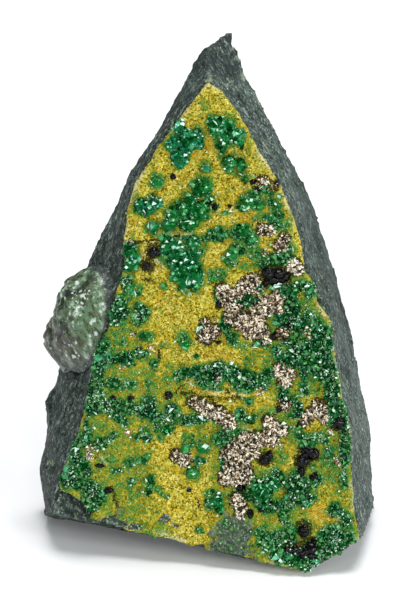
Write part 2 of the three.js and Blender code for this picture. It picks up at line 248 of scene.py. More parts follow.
def rockFinish():
    rock = Finish("sulphideRock", IOR=1.5, Specular_IOR_Level=0.2)
    grain = rock.stretched((1, 1, 0.6), (0, -0.36, 0))
    tone, fine = flankTone(rock, grain)
    rust = rock.clouds(3.1, 3, 0.6, rock.stretched((1.3, 0.8, 1)))
    tone = rock.blend(rust.ramp(0.64, 0.72) * 0.45, tone, (0.14, 0.1, 0.05))
    back = rock.axis("Y").ramp(7.4, 8.8)  # out of the front view: ochre stains and pale veins
    stain = rock.clouds(5.5, 5, 0.62, distortion=0.4) + (fine - 0.5) * 0.3
    tone = rock.blend(stain.ramp(0.56, 0.66) * back * 0.6, tone, (0.3, 0.2, 0.035))
    vein = rock.clouds(11, 3, 0.5, distortion=0.3) - 0.53
    tone = rock.blend((1 - (vein * vein).ramp(0, 0.0001)) * back * 0.7, tone, (0.36, 0.4, 0.31))
    bare = (rock.written("bare") * 1.4 - rock.clouds(0.9, 4, 0.65) * 0.8).ramp(0.1, 0.5)
    tone = rock.blend(bare, tone, bareTone(rock, rock.cellValue(0.12)))
    bumps = rock.clouds(0.8, 6, 0.7, grain) + rock.cells(0.25, place=grain) * 0.5
    return rock.wear(Base_Color=tone, Roughness=0.45 + fine * 0.3, Normal=rock.relief(bumps, 0.22))


goldStops = ((0.0, (0.04, 0.032, 0.001)), (0.2, (0.22, 0.155, 0.005)), (0.5, (0.5, 0.36, 0.016)),
             (0.8, (0.7, 0.54, 0.05)), (1.0, (1.0, 0.88, 0.28)))
paleGoldStops = ((0.0, (0.024, 0.04, 0.001)), (0.2, (0.18, 0.18, 0.006)), (0.5, (0.45, 0.39, 0.022)),
                 (0.8, (0.67, 0.6, 0.07)), (1.0, (1.0, 0.94, 0.34)))
coverStops = (  # from a thin green bloom to deep crystals
    (0.0, (0.34, 0.36, 0.03)), (0.2, (0.23, 0.31, 0.035)), (0.42, (0.09, 0.25, 0.035)),
    (0.62, (0.025, 0.17, 0.03)), (0.8, (0.004, 0.092, 0.018)), (1.0, (0.0004, 0.034, 0.006)))


def ochreFinish(name, painted):
    ochre = Finish(name, IOR=1.45, Specular_IOR_Level=0.15, Specular_Tint=(1, 0.9, 0.35, 1))
    mottle = ochre.clouds(0.9, 4, 0.65)
    grain = ochre.cellValue(0.14)
    fine = ochre.clouds(0.14, 3, 0.7)
    tone = grain * 0.95 + fine * 1.1 - 0.46 if painted else ochre.written("tone")
    tone = tone + (mottle - 0.5) * 0.5
    family = ochre.cellValue(0.25)
    colour = ochre.blend(family, ochre.shades(tone, *goldStops), ochre.shades(tone, *paleGoldStops))
    warm = ochre.clouds(1.5, 4, 0.7).ramp(0.55, 0.68) * 0.3 + family.ramp(0.86, 0.92) * 0.25
    if painted:
        warm = warm + ochre.written("warm")
    colour = ochre.blend(warm * (1 - fine.ramp(0.4, 0.75) * 0.6), colour, (0.42, 0.235, 0.012))
    pit = (1 - ochre.cells(0.34).ramp(0.14, 0.3)) * ochre.cellValue(0.34).ramp(0.8, 0.84)
    colour = ochre.blend(pit * 0.85, colour, (0.045, 0.03, 0.004))
    cover = ochre.written("cover") + (ochre.clouds(0.3, 4, 0.7) - 0.5) * 0.75 + (grain - 0.5) * 0.45
    colour = ochre.blend(cover.ramp(0.12, 0.34), colour, ochre.shades(cover, *coverStops))
    if painted:
        stain, bare = ochre.written("stain"), ochre.written("bare")
        colour = ochre.blend(ochre.written("pale") * grain.ramp(0.1, 0.5) * 0.8, colour, (0.72, 0.66, 0.36))
        # the stain layer darkens the crust: painted shadow round the black balls, painted shade in the
        # cracks, and darkening round the tan and black clusters
        colour = ochre.blend((stain * 1.6 - grain * 0.7).ramp(0, 0.5) * 0.9, colour, (0.02, 0.018, 0.006))
        # painted sparkle: pale green-white specks where the green cover is thick
        paintedSparkle = ochre.cellValue(0.1).ramp(0.93, 0.96) * cover.ramp(0.35, 0.6)
        colour = ochre.blend(paintedSparkle * 0.8, colour, (0.55, 0.85, 0.6))
        edge = (bare * 1.5 - mottle * 0.9 + (grain - 0.5) * 0.6).ramp(0.1, 0.5)
        colour = ochre.blend(edge, colour, bareTone(ochre, grain))
    height = ochre.cells(0.13) * 0.5 + ochre.clouds(0.2, 4, 0.7)
    bump = ochre.relief(height, 0.13, 0.9)
    return ochre.wear(Base_Color=colour, Roughness=0.5 + grain * 0.35, Normal=bump)


# the top ends are the near white of the painted highlights
greenStops = ((0.0, (0.0002, 0.012, 0.001)), (0.3, (0.0012, 0.055, 0.006)), (0.6, (0.014, 0.16, 0.026)),
              (0.8, (0.075, 0.33, 0.085)), (0.91, (0.3, 0.64, 0.34)), (1.0, (0.8, 0.96, 0.82)))
tealStops = ((0.0, (0.0002, 0.014, 0.003)), (0.3, (0.0012, 0.06, 0.015)), (0.6, (0.011, 0.17, 0.07)),
             (0.8, (0.065, 0.38, 0.22)), (0.91, (0.3, 0.72, 0.54)), (1.0, (0.82, 0.98, 0.92)))
greenConstants = {"IOR": 1.62, "Specular_IOR_Level": 0.3, "Specular_Tint": (0.05, 0.85, 0.15, 1),
                  "Transmission_Weight": 0.08}


def emeraldFinish():
    green = Finish("emerald", **greenConstants)
    inner = green.clouds(0.6, 4, 0.65)
    facet, chip = green.cellValue(0.5), green.cellValue(0.25)
    tone = green.written("tone") + (inner - 0.5) * 0.5 + (facet - 0.5) * 0.3 + (chip - 0.5) * 0.15
    # painted shade: darker along the seams between the cells
    tone = tone - (1 - green.cells(0.5, feature="DISTANCE_TO_EDGE").ramp(0, 0.07)) * 0.15
    cool = (green.written("cool") + (green.clouds(1.2, 2) - 0.5) * 0.8).ramp(0.1, 0.9)
    colour = green.blend(cool, green.shades(tone, *greenStops), green.shades(tone, *tealStops))
    # painted sparkle: small near-white flecks in patches
    light = green.cellValue(0.17).ramp(0.92, 0.94) * green.clouds(0.8, 3).ramp(0.48, 0.6)
    colour = green.blend(light * 0.75, colour, (0.45, 0.85, 0.62))
    bump = green.relief(green.clouds(0.25, 4, 0.65), 0.03, 0.4)
    return green.wear(Base_Color=colour, Roughness=0.08 + inner * 0.1, Normal=bump)


def meadowFinish():  # the small crystals take the colour that the crust has under them
    green = Finish("meadowGreen", **greenConstants)
    tone = green.written("tone")
    inner = green.clouds(0.3, 3, 0.65)
    colour = green.shades(green.written("cover") + (0.6 - tone) * 0.6 + (inner - 0.5) * 0.5, *coverStops)
    cool = green.clouds(1.4, 3).ramp(0.42, 0.62)
    bright = green.blend(cool, (0.16, 0.4, 0.12), (0.09, 0.42, 0.2))
    colour = green.blend(tone.ramp(0.45, 0.86) * 0.65, colour, bright)
    # painted highlight: tones above 0.86 go near white
    colour = green.blend((tone - 0.86).ramp(0, 0.25), colour, (0.74, 0.96, 0.76))
    # painted sparkle: small near-white flecks in patches
    light = green.cellValue(0.13).ramp(0.92, 0.95) * green.clouds(1.1, 2).ramp(0.42, 0.58)
    colour = green.blend(light * 0.8, colour, (0.66, 0.92, 0.7))
    return green.wear(Base_Color=colour, Roughness=0.1 + inner * 0.12)


def tanFinish():
    tan = Finish("tanGrains", IOR=1.55, Specular_IOR_Level=0.2, Specular_Tint=(1, 0.9, 0.7, 1))
    stops = ((0.0, (0.006, 0.008, 0.003)), (0.14, (0.062, 0.042, 0.017)), (0.35, (0.28, 0.19, 0.1)),
             (0.57, (0.57, 0.43, 0.28)), (0.74, (0.92, 0.79, 0.6)), (0.92, (1.0, 0.98, 0.85)))
    tone = tan.written("tone") + (tan.clouds(0.22, 3) - 0.5) * 0.55 + (tan.clouds(0.9, 3) - 0.5) * 0.6
    # painted shade: darker in the gaps along the cell edges
    tone = tone - (1 - tan.cells(0.4, feature="DISTANCE_TO_EDGE").ramp(0.02, 0.13)) * 0.45 + 0.09
    return tan.wear(Base_Color=tan.shades(tone, *stops), Roughness=0.3 + tan.clouds(0.4) * 0.2)


def blackFinish():
    black = Finish("blackCrystal", IOR=1.5, Specular_IOR_Level=0.22)
    tone = black.written("tone")
    # tones above 0.8, on the glint crystals, are a painted highlight
    colour = black.shades(tone, (0.0, (0.0012, 0.001, 0.0014)), (0.8, (0.003, 0.003, 0.004)),
                          (1.0, (0.03, 0.04, 0.045)))
    bump = black.relief(black.clouds(0.25, 3), 0.03, 0.5)
    return black.wear(Base_Color=colour, Roughness=0.14 + tone * 0.1, Normal=bump)


mossyStops = ((0.0, (0.012, 0.024, 0.012)), (0.22, (0.05, 0.08, 0.026)), (0.4, (0.11, 0.17, 0.065)),
              (0.55, (0.08, 0.19, 0.1)), (0.7, (0.19, 0.28, 0.16)), (0.86, (0.4, 0.5, 0.38)),
              (1.0, (0.8, 0.9, 0.78)))
smokyStops = ((0.0, (0.012, 0.018, 0.01)), (0.22, (0.05, 0.045, 0.02)), (0.4, (0.085, 0.105, 0.045)),
              (0.55, (0.055, 0.14, 0.07)), (0.7, (0.16, 0.21, 0.12)), (0.86, (0.42, 0.47, 0.36)),
              (1.0, (0.85, 0.88, 0.8)))


def quartzFinish():
    quartz = Finish("mossyQuartz", IOR=1.54, Specular_IOR_Level=0.35, Coat_Weight=0.15, Coat_Roughness=0.1,
                    Transmission_Weight=0.1)
    slant = quartz.stretched((1, 1, 0.6), (0, -0.5, 0))
    across, height = quartz.axis("X"), quartz.axis("Z")
    wander = quartz.blend(0.12, slant, quartz.cells(0.5, "Color"))
    each = quartz.cellValue(0.75, wander, "SMOOTH_F1") * 1.25  # the grains' own tones
    each = each + (quartz.clouds(0.5, 5, 0.7, slant) - 0.5) * 1.9
    each = each + across.ramp(-12.5, -9.5) * 0.22 - 0.23 + (quartz.clouds(0.28, 3, 0.6, slant) - 0.5) * 0.8
    mossy, smoky = quartz.shades(each, *mossyStops), quartz.shades(each, *smokyStops)
    upper = (height + across * 0.5 + (quartz.clouds(1.5, 3) - 0.5) * 4).ramp(11.5, 14)
    tone = quartz.blend(upper, smoky, mossy)
    streak = quartz.clouds(0.3, 5, 0.7, quartz.stretched((1, 1, 0.35), (0, -0.6, 0)))
    tone = quartz.blend(streak.ramp(0.6, 0.67) * 0.6, tone, (0.6, 0.72, 0.58))
    tone = quartz.blend((1 - streak.ramp(0.38, 0.46)) * 0.8, tone, (0.01, 0.018, 0.01))
    # painted glints: small near-white flecks in patches
    paintedGlint = quartz.cellValue(0.2, slant).ramp(0.86, 0.9) * quartz.clouds(1.6, 2).ramp(0.4, 0.6)
    tone = quartz.blend(paintedGlint * 0.7, tone, (0.8, 0.9, 0.8))
    ends = height.ramp(23.2, 25) + (1 - height.ramp(16, 17)) * 0.7  # where it fades into the rock
    rim = (1 - quartz.written("stand")).ramp(0.5, 1) + ends * 0.75
    tone = quartz.blend((rim + streak - 0.5).ramp(0.3, 0.7), tone, flankTone(quartz, slant)[0])
    bump = quartz.relief(streak + quartz.cells(0.75, place=slant) * 0.3, 0.15, 0.6)
    return quartz.wear(Base_Color=tone, Roughness=0.15 + streak * 0.3, Normal=bump)


def floorFinish(colour):
    paper = Finish("floorPaper")
    tone = paper.blend(paper.clouds(40, 2), colour, tuple(c * 1.02 for c in colour))
    return paper.wear(Base_Color=tone, Roughness=0.9)


finishes = {
    "rock": rockFinish(),
    "ochreSkin": ochreFinish("ochreSkin", True),
    "ochreGrain": ochreFinish("ochreGrain", False),
    "emerald": emeraldFinish(),
    "meadow": meadowFinish(),
    "tan": tanFinish(),
    "black": blackFinish(),
    "quartz": quartzFinish(),
}
print("materials are mixed")

# Mesh helpers


def copyOf(name):  # a CAD node's shape in a bmesh, with its loose triangles merged
    bm = bmesh.new()
    mesh = nodes[name].data.copy()
    for layer in [a.name for a in mesh.attributes if not a.is_required]:
        if layer in mesh.attributes:
            mesh.attributes.remove(mesh.attributes[layer])
    bm.from_mesh(mesh)
    bpy.data.meshes.remove(mesh)
    bmesh.ops.remove_doubles(bm, verts=bm.verts, dist=1e-7)
    bm.normal_update()
    return bm


def makeObject(bm, name):
    mesh = bpy.data.meshes.new(name)
    bm.to_mesh(mesh)
    bm.free()
    made = bpy.data.objects.new(name, mesh)
    bpy.context.scene.collection.objects.link(made)
    return made


pieces = []


def finishPiece(bm, name, slot, material, replaced=()):
    bm.normal_update()
    piece = makeObject(bm, name)
    pieces.append(piece)
    piece.data.materials.append(finishes[material])
    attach(piece, "root")
    if replaced:
        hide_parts(*replaced)
    return piece


def remeshed(bm, voxel):
    rough = makeObject(bm, "rough")
    even = rough.modifiers.new("even", "REMESH")
    even.mode = "VOXEL"
    even.voxel_size = voxel * mm
    bpy.context.view_layer.update()
    result = bmesh.new()
    result.from_object(rough, bpy.context.evaluated_depsgraph_get())
    bpy.data.objects.remove(rough)
    for face in result.faces:
        face.smooth = True
    result.normal_update()
    return result


def treeOf(mesh):  # for rays and nearest places on its faces
    return BVHTree.FromPolygons([v.co for v in mesh.vertices], [tuple(p.vertices) for p in mesh.polygons])


def spotTree(spots):  # for the nearest of some places
    tree = kdtree.KDTree(len(spots))
    for index, spot in enumerate(spots):
        tree.insert(spot, index)
    tree.balance()
    return tree


def facingArea(bm, facing):  # of the faces that look forward, in square mm
    return sum(f.calc_area() for f in bm.faces if f.normal.dot(faceNormal) > facing) / mm / mm


def turnTo(direction):  # turns Z that way
    return direction.to_track_quat("Z", "Y").to_matrix().to_4x4()


def reshape(bm, shift):  # shift(place in mm, normal) gives each vertex's move in mm
    bm.normal_update()
    moves = [shift(v.co / mm, v.normal) for v in bm.verts]
    for vertex, move in zip(bm.verts, moves):
        vertex.co += move * mm


def lumps(place, size, octaves=3):
    return noise.fractal(place / size, 0.7, 2.1, octaves)


def facets(place, size):  # flat chips with steps between them
    spot = noise.voronoi(place / size)[1][0]
    tilt = noise.cell_vector(spot * 7.3) - Vector((0.5, 0.5, 0.5))
    return tilt.dot(place / size - spot)


def spread(low, high, value):
    share = min(1, max(0, (value - low) / (high - low)))
    return share * share * (3 - 2 * share)


def ovalAway(x, z, centreX, centreZ, reachX, reachZ):  # 0 in its middle, 1 on its edge
    return math.hypot((x - centreX) / reachX, (z - centreZ) / reachZ)


def between(x, stations):  # straight lines through (x, value) pairs
    for (x0, y0), (x1, y1) in zip(stations, stations[1:]):
        if x <= x1:
            return y0 + (y1 - y0) * max(0, (x - x0) / (x1 - x0))
    return stations[-1][1]


print("tools are ready")

# Where the small green crystals lie on the crust: x, z, reach in x and z, and how thickly

greenPatches = (
    # among the tan grains
    (3.6, 22.5, 0.9, 0.6, 1.2), (4.9, 23.5, 0.4, 0.3, 0.9), (1.9, 20.4, 0.6, 0.35, 0.9),
    (7.2, 21.4, 0.8, 0.6, 1.1), (7.0, 15.0, 0.5, 0.5, 0.9), (5.2, 16.4, 0.9, 0.4, 0.8),
    (8.9, 10.4, 0.5, 0.4, 1.0),
    # left edge, from the ledge down
    (-7.4, 21.2, 0.8, 1.3, 0.9), (-5.6, 21.2, 0.9, 0.9, 0.75), (-6.8, 22.4, 0.8, 0.5, 0.55),
    (-6.6, 23.6, 0.6, 0.8, 0.85), (-5.0, 19.3, 0.7, 0.4, 0.75), (-7.0, 19.2, 1.2, 1.0, 0.42),
    (-8.7, 18.6, 0.4, 0.8, 0.8), (-8.6, 17.4, 1.1, 0.6, 1.1), (-7.0, 17.5, 1.2, 0.5, 1.0),
    (-5.6, 17.9, 0.8, 0.4, 0.85), (-9.3, 16.2, 0.7, 1.2, 0.95), (-9.5, 14.7, 0.9, 1.2, 1.0),
    (-9.3, 13.3, 1.0, 0.9, 1.05), (-7.8, 15.3, 0.9, 0.6, 0.8), (-6.3, 15.2, 0.7, 0.5, 0.6),
    (-4.9, 15.5, 0.4, 0.3, 0.75), (-4.3, 16.9, 0.4, 0.5, 0.75), (-7.9, 13.2, 1.4, 0.8, 0.95),
    (-6.5, 13.3, 0.8, 0.7, 0.8), (-5.1, 13.2, 0.9, 0.9, 1.05), (-4.0, 12.4, 0.9, 0.6, 0.9),
    (-2.7, 13.0, 0.6, 0.9, 1.0), (-1.5, 12.2, 1.2, 0.4, 0.85), (-0.3, 12.5, 0.7, 0.4, 1.0),
    (-7.1, 12.2, 0.7, 0.4, 0.7), (-3.6, 11.5, 0.8, 0.4, 0.75), (-5.2, 11.3, 0.6, 0.5, 0.55),
    (-4.8, 14.3, 0.6, 0.4, 0.55),
    # the belt across the middle
    (-1.6, 16.2, 0.9, 0.6, 0.8), (-0.2, 16.4, 0.9, 0.7, 0.95), (1.3, 16.8, 1.1, 0.6, 1.0),
    (0.6, 15.6, 1.3, 0.5, 0.75), (2.6, 16.3, 1.0, 0.7, 1.0), (3.8, 16.0, 1.1, 0.7, 0.95),
    (3.4, 15.3, 1.0, 0.4, 0.9), (5.1, 15.6, 0.8, 0.5, 0.75), (-0.6, 17.7, 0.35, 0.25, 0.7),
    (-3.6, 18.7, 0.4, 0.3, 0.5), (3.8, 14.3, 0.6, 0.3, 0.6), (2.5, 19.4, 0.7, 0.6, 0.8),
    (3.4, 18.7, 0.9, 0.25, 0.5), (5.0, 19.0, 0.5, 0.4, 0.95), (1.7, 20.4, 0.3, 0.8, 0.6),
    # upper face
    (0.6, 27.8, 0.9, 0.4, 0.8), (1.4, 28.2, 1.0, 0.5, 0.75), (3.2, 28.2, 1.0, 0.7, 0.8),
    (2.6, 26.8, 0.6, 0.6, 0.85), (3.9, 27.0, 1.0, 0.7, 0.5), (4.7, 26.4, 1.2, 0.5, 0.5),
    (6.4, 26.3, 1.4, 0.5, 0.85), (7.3, 26.9, 0.7, 0.5, 0.6), (1.2, 24.7, 0.8, 0.6, 0.55),
    (4.0, 25.4, 1.4, 0.3, 0.35), (5.4, 25.6, 0.8, 0.3, 0.7), (1.3, 23.0, 0.5, 0.6, 0.5),
    (5.6, 31.2, 0.5, 0.8, 0.6), (6.2, 30.2, 0.7, 1.0, 0.65), (6.6, 29.0, 0.7, 0.6, 0.6),
    (4.9, 29.6, 0.7, 0.4, 0.5), (-3.0, 27.5, 0.9, 0.4, 0.9), (-1.2, 27.7, 0.9, 0.4, 0.9),
    (-6.3, 26.6, 0.5, 0.8, 0.85), (-6.5, 25.4, 0.4, 0.6, 0.8), (-3.3, 25.9, 0.8, 0.5, 0.6),
    (-0.4, 26.6, 0.5, 0.5, 0.5), (1.6, 34.8, 0.4, 0.4, 0.5), (1.3, 36.1, 0.5, 0.6, 0.5),
    (-2.1, 33.6, 0.5, 0.3, 0.45), (-5.9, 31.2, 0.5, 0.4, 0.4), (3.8, 35.3, 0.3, 0.7, 0.35),
    (3.3, 33.0, 0.8, 0.3, 0.4), (0.2, 38.9, 0.5, 0.5, 0.35), (-3.6, 23.7, 0.3, 0.3, 0.6),
    (5.2, 32.0, 0.5, 0.5, 0.6), (-2.3, 37.3, 0.3, 0.4, 0.5),
    # right side
    (8.5, 24.0, 0.8, 0.5, 0.95), (9.2, 23.5, 0.5, 0.5, 0.9), (7.4, 23.2, 0.8, 0.8, 1.0),
    (7.6, 21.9, 0.6, 1.2, 1.05), (9.2, 21.4, 0.9, 0.8, 0.72), (8.2, 20.6, 0.8, 0.8, 0.95),
    (10.0, 20.4, 1.0, 0.8, 0.8), (10.2, 19.3, 1.1, 0.9, 1.05), (8.4, 19.0, 1.3, 0.7, 1.05),
    (6.3, 18.3, 0.6, 0.8, 0.95), (8.2, 17.7, 1.8, 0.7, 1.05), (10.2, 17.8, 1.2, 0.9, 1.05),
    (10.4, 16.7, 1.2, 0.8, 1.05), (9.0, 16.9, 1.0, 0.5, 0.85), (6.6, 21.0, 0.8, 0.4, 0.8),
    (7.8, 14.6, 0.6, 0.6, 0.6), (8.6, 15.4, 0.5, 0.9, 0.7), (9.6, 15.5, 0.7, 0.8, 0.35),
    (11.1, 15.4, 0.6, 2.2, 1.05), (11.5, 13.6, 0.7, 1.4, 1.05), (12.2, 12.6, 0.4, 1.6, 0.9),
    (8.1, 13.4, 0.5, 0.9, 0.95), (7.0, 14.8, 0.5, 0.5, 0.7),
    # lower right
    (3.2, 12.9, 0.5, 0.6, 0.95), (4.1, 12.7, 0.7, 0.4, 0.7), (2.5, 11.6, 1.1, 0.5, 0.7),
    (1.6, 10.9, 0.8, 0.7, 0.85), (8.0, 11.6, 1.0, 0.6, 0.5), (9.0, 11.0, 0.8, 0.6, 0.75),
    (10.2, 11.2, 0.8, 0.6, 0.6), (12.1, 11.0, 0.3, 1.4, 0.9), (11.0, 10.4, 0.8, 0.6, 0.55),
    (6.6, 9.4, 0.9, 0.7, 0.38), (10.8, 9.3, 1.2, 1.0, 0.42), (12.2, 8.8, 0.35, 2.2, 0.85),
    (8.0, 8.2, 0.8, 0.5, 0.5), (9.7, 7.7, 1.1, 0.6, 0.55), (6.4, 7.7, 0.9, 0.7, 1.0),
    (4.8, 6.6, 1.2, 1.0, 1.05), (8.0, 7.1, 1.1, 0.9, 1.05), (7.6, 6.0, 0.8, 0.9, 1.05),
    (8.9, 6.3, 0.7, 0.8, 0.9), (5.6, 5.4, 1.2, 0.6, 0.95), (7.0, 4.8, 0.5, 1.1, 0.9),
    (11.4, 5.2, 0.7, 0.6, 0.85), (12.4, 4.5, 0.6, 0.8, 0.7), (10.6, 6.6, 0.8, 0.6, 0.25),
    (5.0, 3.3, 0.8, 0.6, 0.6), (5.4, 2.4, 0.7, 0.8, 0.9), (6.4, 2.8, 0.8, 0.9, 0.85),
    (7.3, 3.2, 0.5, 1.0, 0.95), (11.0, 3.2, 1.2, 0.8, 1.0), (12.4, 2.8, 0.9, 0.8, 1.05),
    (10.8, 2.0, 1.4, 0.7, 1.05), (9.4, 0.9, 1.4, 0.5, 1.1), (6.2, 1.5, 0.6, 0.4, 1.0),
    (7.5, 1.5, 0.8, 0.7, 0.85), (8.6, 1.5, 1.2, 0.9, 0.8), (4.0, 1.9, 0.7, 0.6, 0.3),
    (0.9, 5.3, 0.8, 0.6, 0.9), (1.9, 3.9, 0.6, 0.6, 0.4), (1.6, 8.8, 0.4, 0.9, 0.5),
    # lower left
    (-10.2, 11.2, 0.4, 0.9, 0.85), (-10.7, 10.2, 0.6, 0.8, 0.95), (-11.3, 8.8, 0.6, 0.8, 1.0),
    (-9.0, 10.2, 0.8, 0.5, 0.95), (-7.9, 10.8, 0.5, 0.3, 0.8), (-11.6, 7.6, 0.6, 0.6, 1.0),
    (-10.6, 7.6, 0.6, 0.7, 1.05), (-12.0, 6.8, 0.5, 0.6, 0.95), (-11.0, 6.6, 1.0, 0.7, 1.0),
    (-10.0, 6.0, 0.7, 0.9, 0.95), (-9.2, 5.4, 0.8, 0.9, 0.8), (-9.8, 4.8, 0.5, 0.6, 0.9),
    (-5.7, 10.6, 0.6, 0.3, 0.8), (-4.8, 10.8, 0.4, 0.5, 0.7), (-8.0, 8.5, 0.6, 0.4, 0.5),
    (-7.4, 7.8, 0.5, 0.35, 0.85), (-6.6, 8.6, 0.9, 0.5, 0.4), (-5.6, 8.6, 0.7, 0.6, 0.55),
    (-5.0, 9.3, 0.35, 0.7, 0.5), (-6.4, 6.9, 0.4, 0.25, 0.85), (-4.7, 7.0, 0.4, 0.7, 0.65),
    (-4.8, 6.3, 0.4, 0.3, 0.75), (-4.0, 6.4, 0.5, 0.3, 0.5), (-6.1, 5.4, 0.7, 0.3, 0.4),
    (-3.4, 5.9, 0.4, 0.2, 0.55), (-0.4, 3.1, 0.3, 0.3, 0.8), (-0.4, 8.9, 0.5, 0.4, 0.75),
    (-1.2, 7.9, 0.6, 0.3, 0.9), (-3.6, 10.7, 0.4, 0.3, 0.5), (-0.6, 10.8, 0.5, 0.3, 0.5),
    (-6.8, 7.4, 2.4, 3.0, 0.27), (-5.8, 4.4, 1.0, 0.8, 0.25),
)
haze = {
    "golden": 0.02, "green": 0.27,  # the thinnest cover, in golden places and elsewhere
    "wander": (1.1, 0.35),  # size and reach in mm of the wander of a patch's outline
    "patchEdge": (1.5, 0.5),  # where a patch starts and is full, as shares of its reach
    "ripples": ((0.85, 0.3), (0.3, 0.3)),  # size in mm and lift
    "halo": (0.5, 0.6),  # the cover right beside a green cluster, and how far it reaches
}

goldPlaces = (  # where the crust is golden rather than lime: x, z, reach in x and z
    (0.8, 39.5, 3.0, 4.0), (0, 33.5, 6.5, 5.0), (-4.5, 29.0, 5.0, 4.0), (3.0, 30.0, 4.5, 4.5),
    (-2.0, 23.0, 6.0, 4.6), (2.5, 24.5, 3.5, 2.6), (-0.5, 18.8, 5.0, 2.2), (1.5, 14.2, 3.8, 1.6),
    (-3.2, 8.5, 3.4, 4.6), (-0.8, 4.5, 2.6, 3.6), (10.6, 5.3, 1.8, 1.6), (9.4, 13.6, 1.2, 2.2),
    (3.4, 27.0, 3.0, 1.6), (6.6, 9.3, 1.6, 1.0), (8.7, 29.5, 1.2, 3.5),
)


def flatPlace(point):  # x and z of the layout, in mm
    return point.x / mm - layoutZero.x, point.z / mm


def nearest(kinds):  # distance in mm on the face to the nearest cluster of these kinds
    tree = spotTree([(v.co.x, 0, v.co.z) for name, node in nodes.items()
                     if name.split("_")[0] in kinds for v in node.data.vertices])
    return lambda point: tree.find((point.x, 0, point.z))[2] / mm


nearGreen, nearBrown = nearest(("green",)), nearest(("tan", "black"))


def goldenness(x, z):
    edge = 0.5 * noise.noise(Vector((x, 31, z)) / 1.4)
    return max(spread(1.3, 0.6, ovalAway(x, z, *place) + edge) for place in goldPlaces)


def coverAt(point):  # 0 is bare ochre, 1 is thick green crystals
    x, z = flatPlace(point)
    size, reach = haze["wander"]
    x += reach * noise.noise(Vector((x, 11, z)) / size)
    z += reach * noise.noise(Vector((x, 23, z)) / size)
    most = haze["green"] + (haze["golden"] - haze["green"]) * goldenness(x, z)
    start, full = haze["patchEdge"]
    for centreX, centreZ, reachX, reachZ, weight in greenPatches:
        if weight > most and abs(x - centreX) < reachX * start and abs(z - centreZ) < reachZ * start:
            away = ovalAway(x, z, centreX, centreZ, reachX, reachZ)
            most = max(most, weight * spread(start, full, away))
    halo, reach = haze["halo"]
    most = max(most, halo * spread(reach, 0, nearGreen(point)))
    ripple = sum(lift * noise.noise(Vector((x, size * 40, z)) / size) for size, lift in haze["ripples"])
    return min(1, max(0, most + ripple * min(1, most * 2 + 0.2)))


blackBalls = (  # small black crystals: x, z, reach in x and z
    (4.2, 32.5, 0.28, 0.2), (4.6, 31.95, 0.4, 0.17), (6.3, 32.5, 0.2, 0.3), (5.5, 28.6, 0.45, 0.2),
    (6.9, 27.6, 0.3, 0.35), (6.45, 29.7, 0.22, 0.18), (0.95, 30.3, 0.26, 0.26), (2.2, 30.4, 0.18, 0.16),
    (-2.7, 32.75, 0.26, 0.26), (-1.2, 30.65, 0.36, 0.42), (0.3, 30.6, 0.3, 0.18), (9.5, 9.7, 0.48, 0.5),
    (8.4, 9.1, 0.36, 0.55), (8.45, 8.3, 0.32, 0.4), (9.6, 7.8, 0.42, 0.34), (9.7, 8.0, 0.2, 0.25),
    (5.3, 9.2, 0.5, 0.42), (5.7, 9.6, 0.3, 0.4), (8.6, 3.4, 0.48, 0.48), (7.2, 1.9, 0.34, 0.42),
    (9.2, 1.6, 0.48, 0.45), (9.5, 2.6, 0.3, 0.3), (7.4, 2.6, 0.3, 0.3), (4.0, 4.6, 0.3, 0.36),
    (3.2, 6.7, 0.4, 0.35), (8.1, 6.9, 0.35, 0.3), (5.4, 5.6, 0.4, 0.3), (-3.1, 14.3, 0.34, 0.32),
    (-8.3, 6.0, 0.36, 0.26), (1.3, 22.15, 0.3, 0.34), (3.0, 20.3, 0.42, 0.16), (7.2, 20.6, 0.42, 0.28),
    (6.9, 14.35, 0.38, 0.36), (6.5, 13.5, 0.22, 0.34), (4.1, 12.4, 0.36, 0.22), (1.3, 19.0, 0.25, 0.14),
    (0.2, 19.1, 0.4, 0.1), (-6.4, 14.1, 0.28, 0.18), (-7.9, 14.0, 0.22, 0.28), (0.9, 16.1, 0.26, 0.3),
    (-9.1, 8.1, 0.42, 0.16), (8.3, 12.1, 0.24, 0.34), (-1.3, 6.3, 0.2, 0.15), (11.2, 20.4, 0.3, 0.3),
    (6.0, 24.3, 0.6, 0.4), (6.9, 24.5, 0.5, 0.4), (5.3, 24.0, 0.25, 0.45), (7.3, 24.8, 0.25, 0.25),
    (-5.7, 18.2, 0.3, 0.16), (4.9, 5.0, 0.25, 0.25), (1.3, 13.6, 0.5, 0.12), (6.1, 19.6, 0.22, 0.35),
    (4.4, 22.3, 0.25, 0.2),
)
ballShadow = {"reach": 1.25, "weight": 0.9, "most": 0.8}
blackPlaces = [(x, z, ballShadow["reach"] * reachX, ballShadow["reach"] * reachZ, ballShadow["weight"])
               for x, z, reachX, reachZ in blackBalls]

# The ochre crust

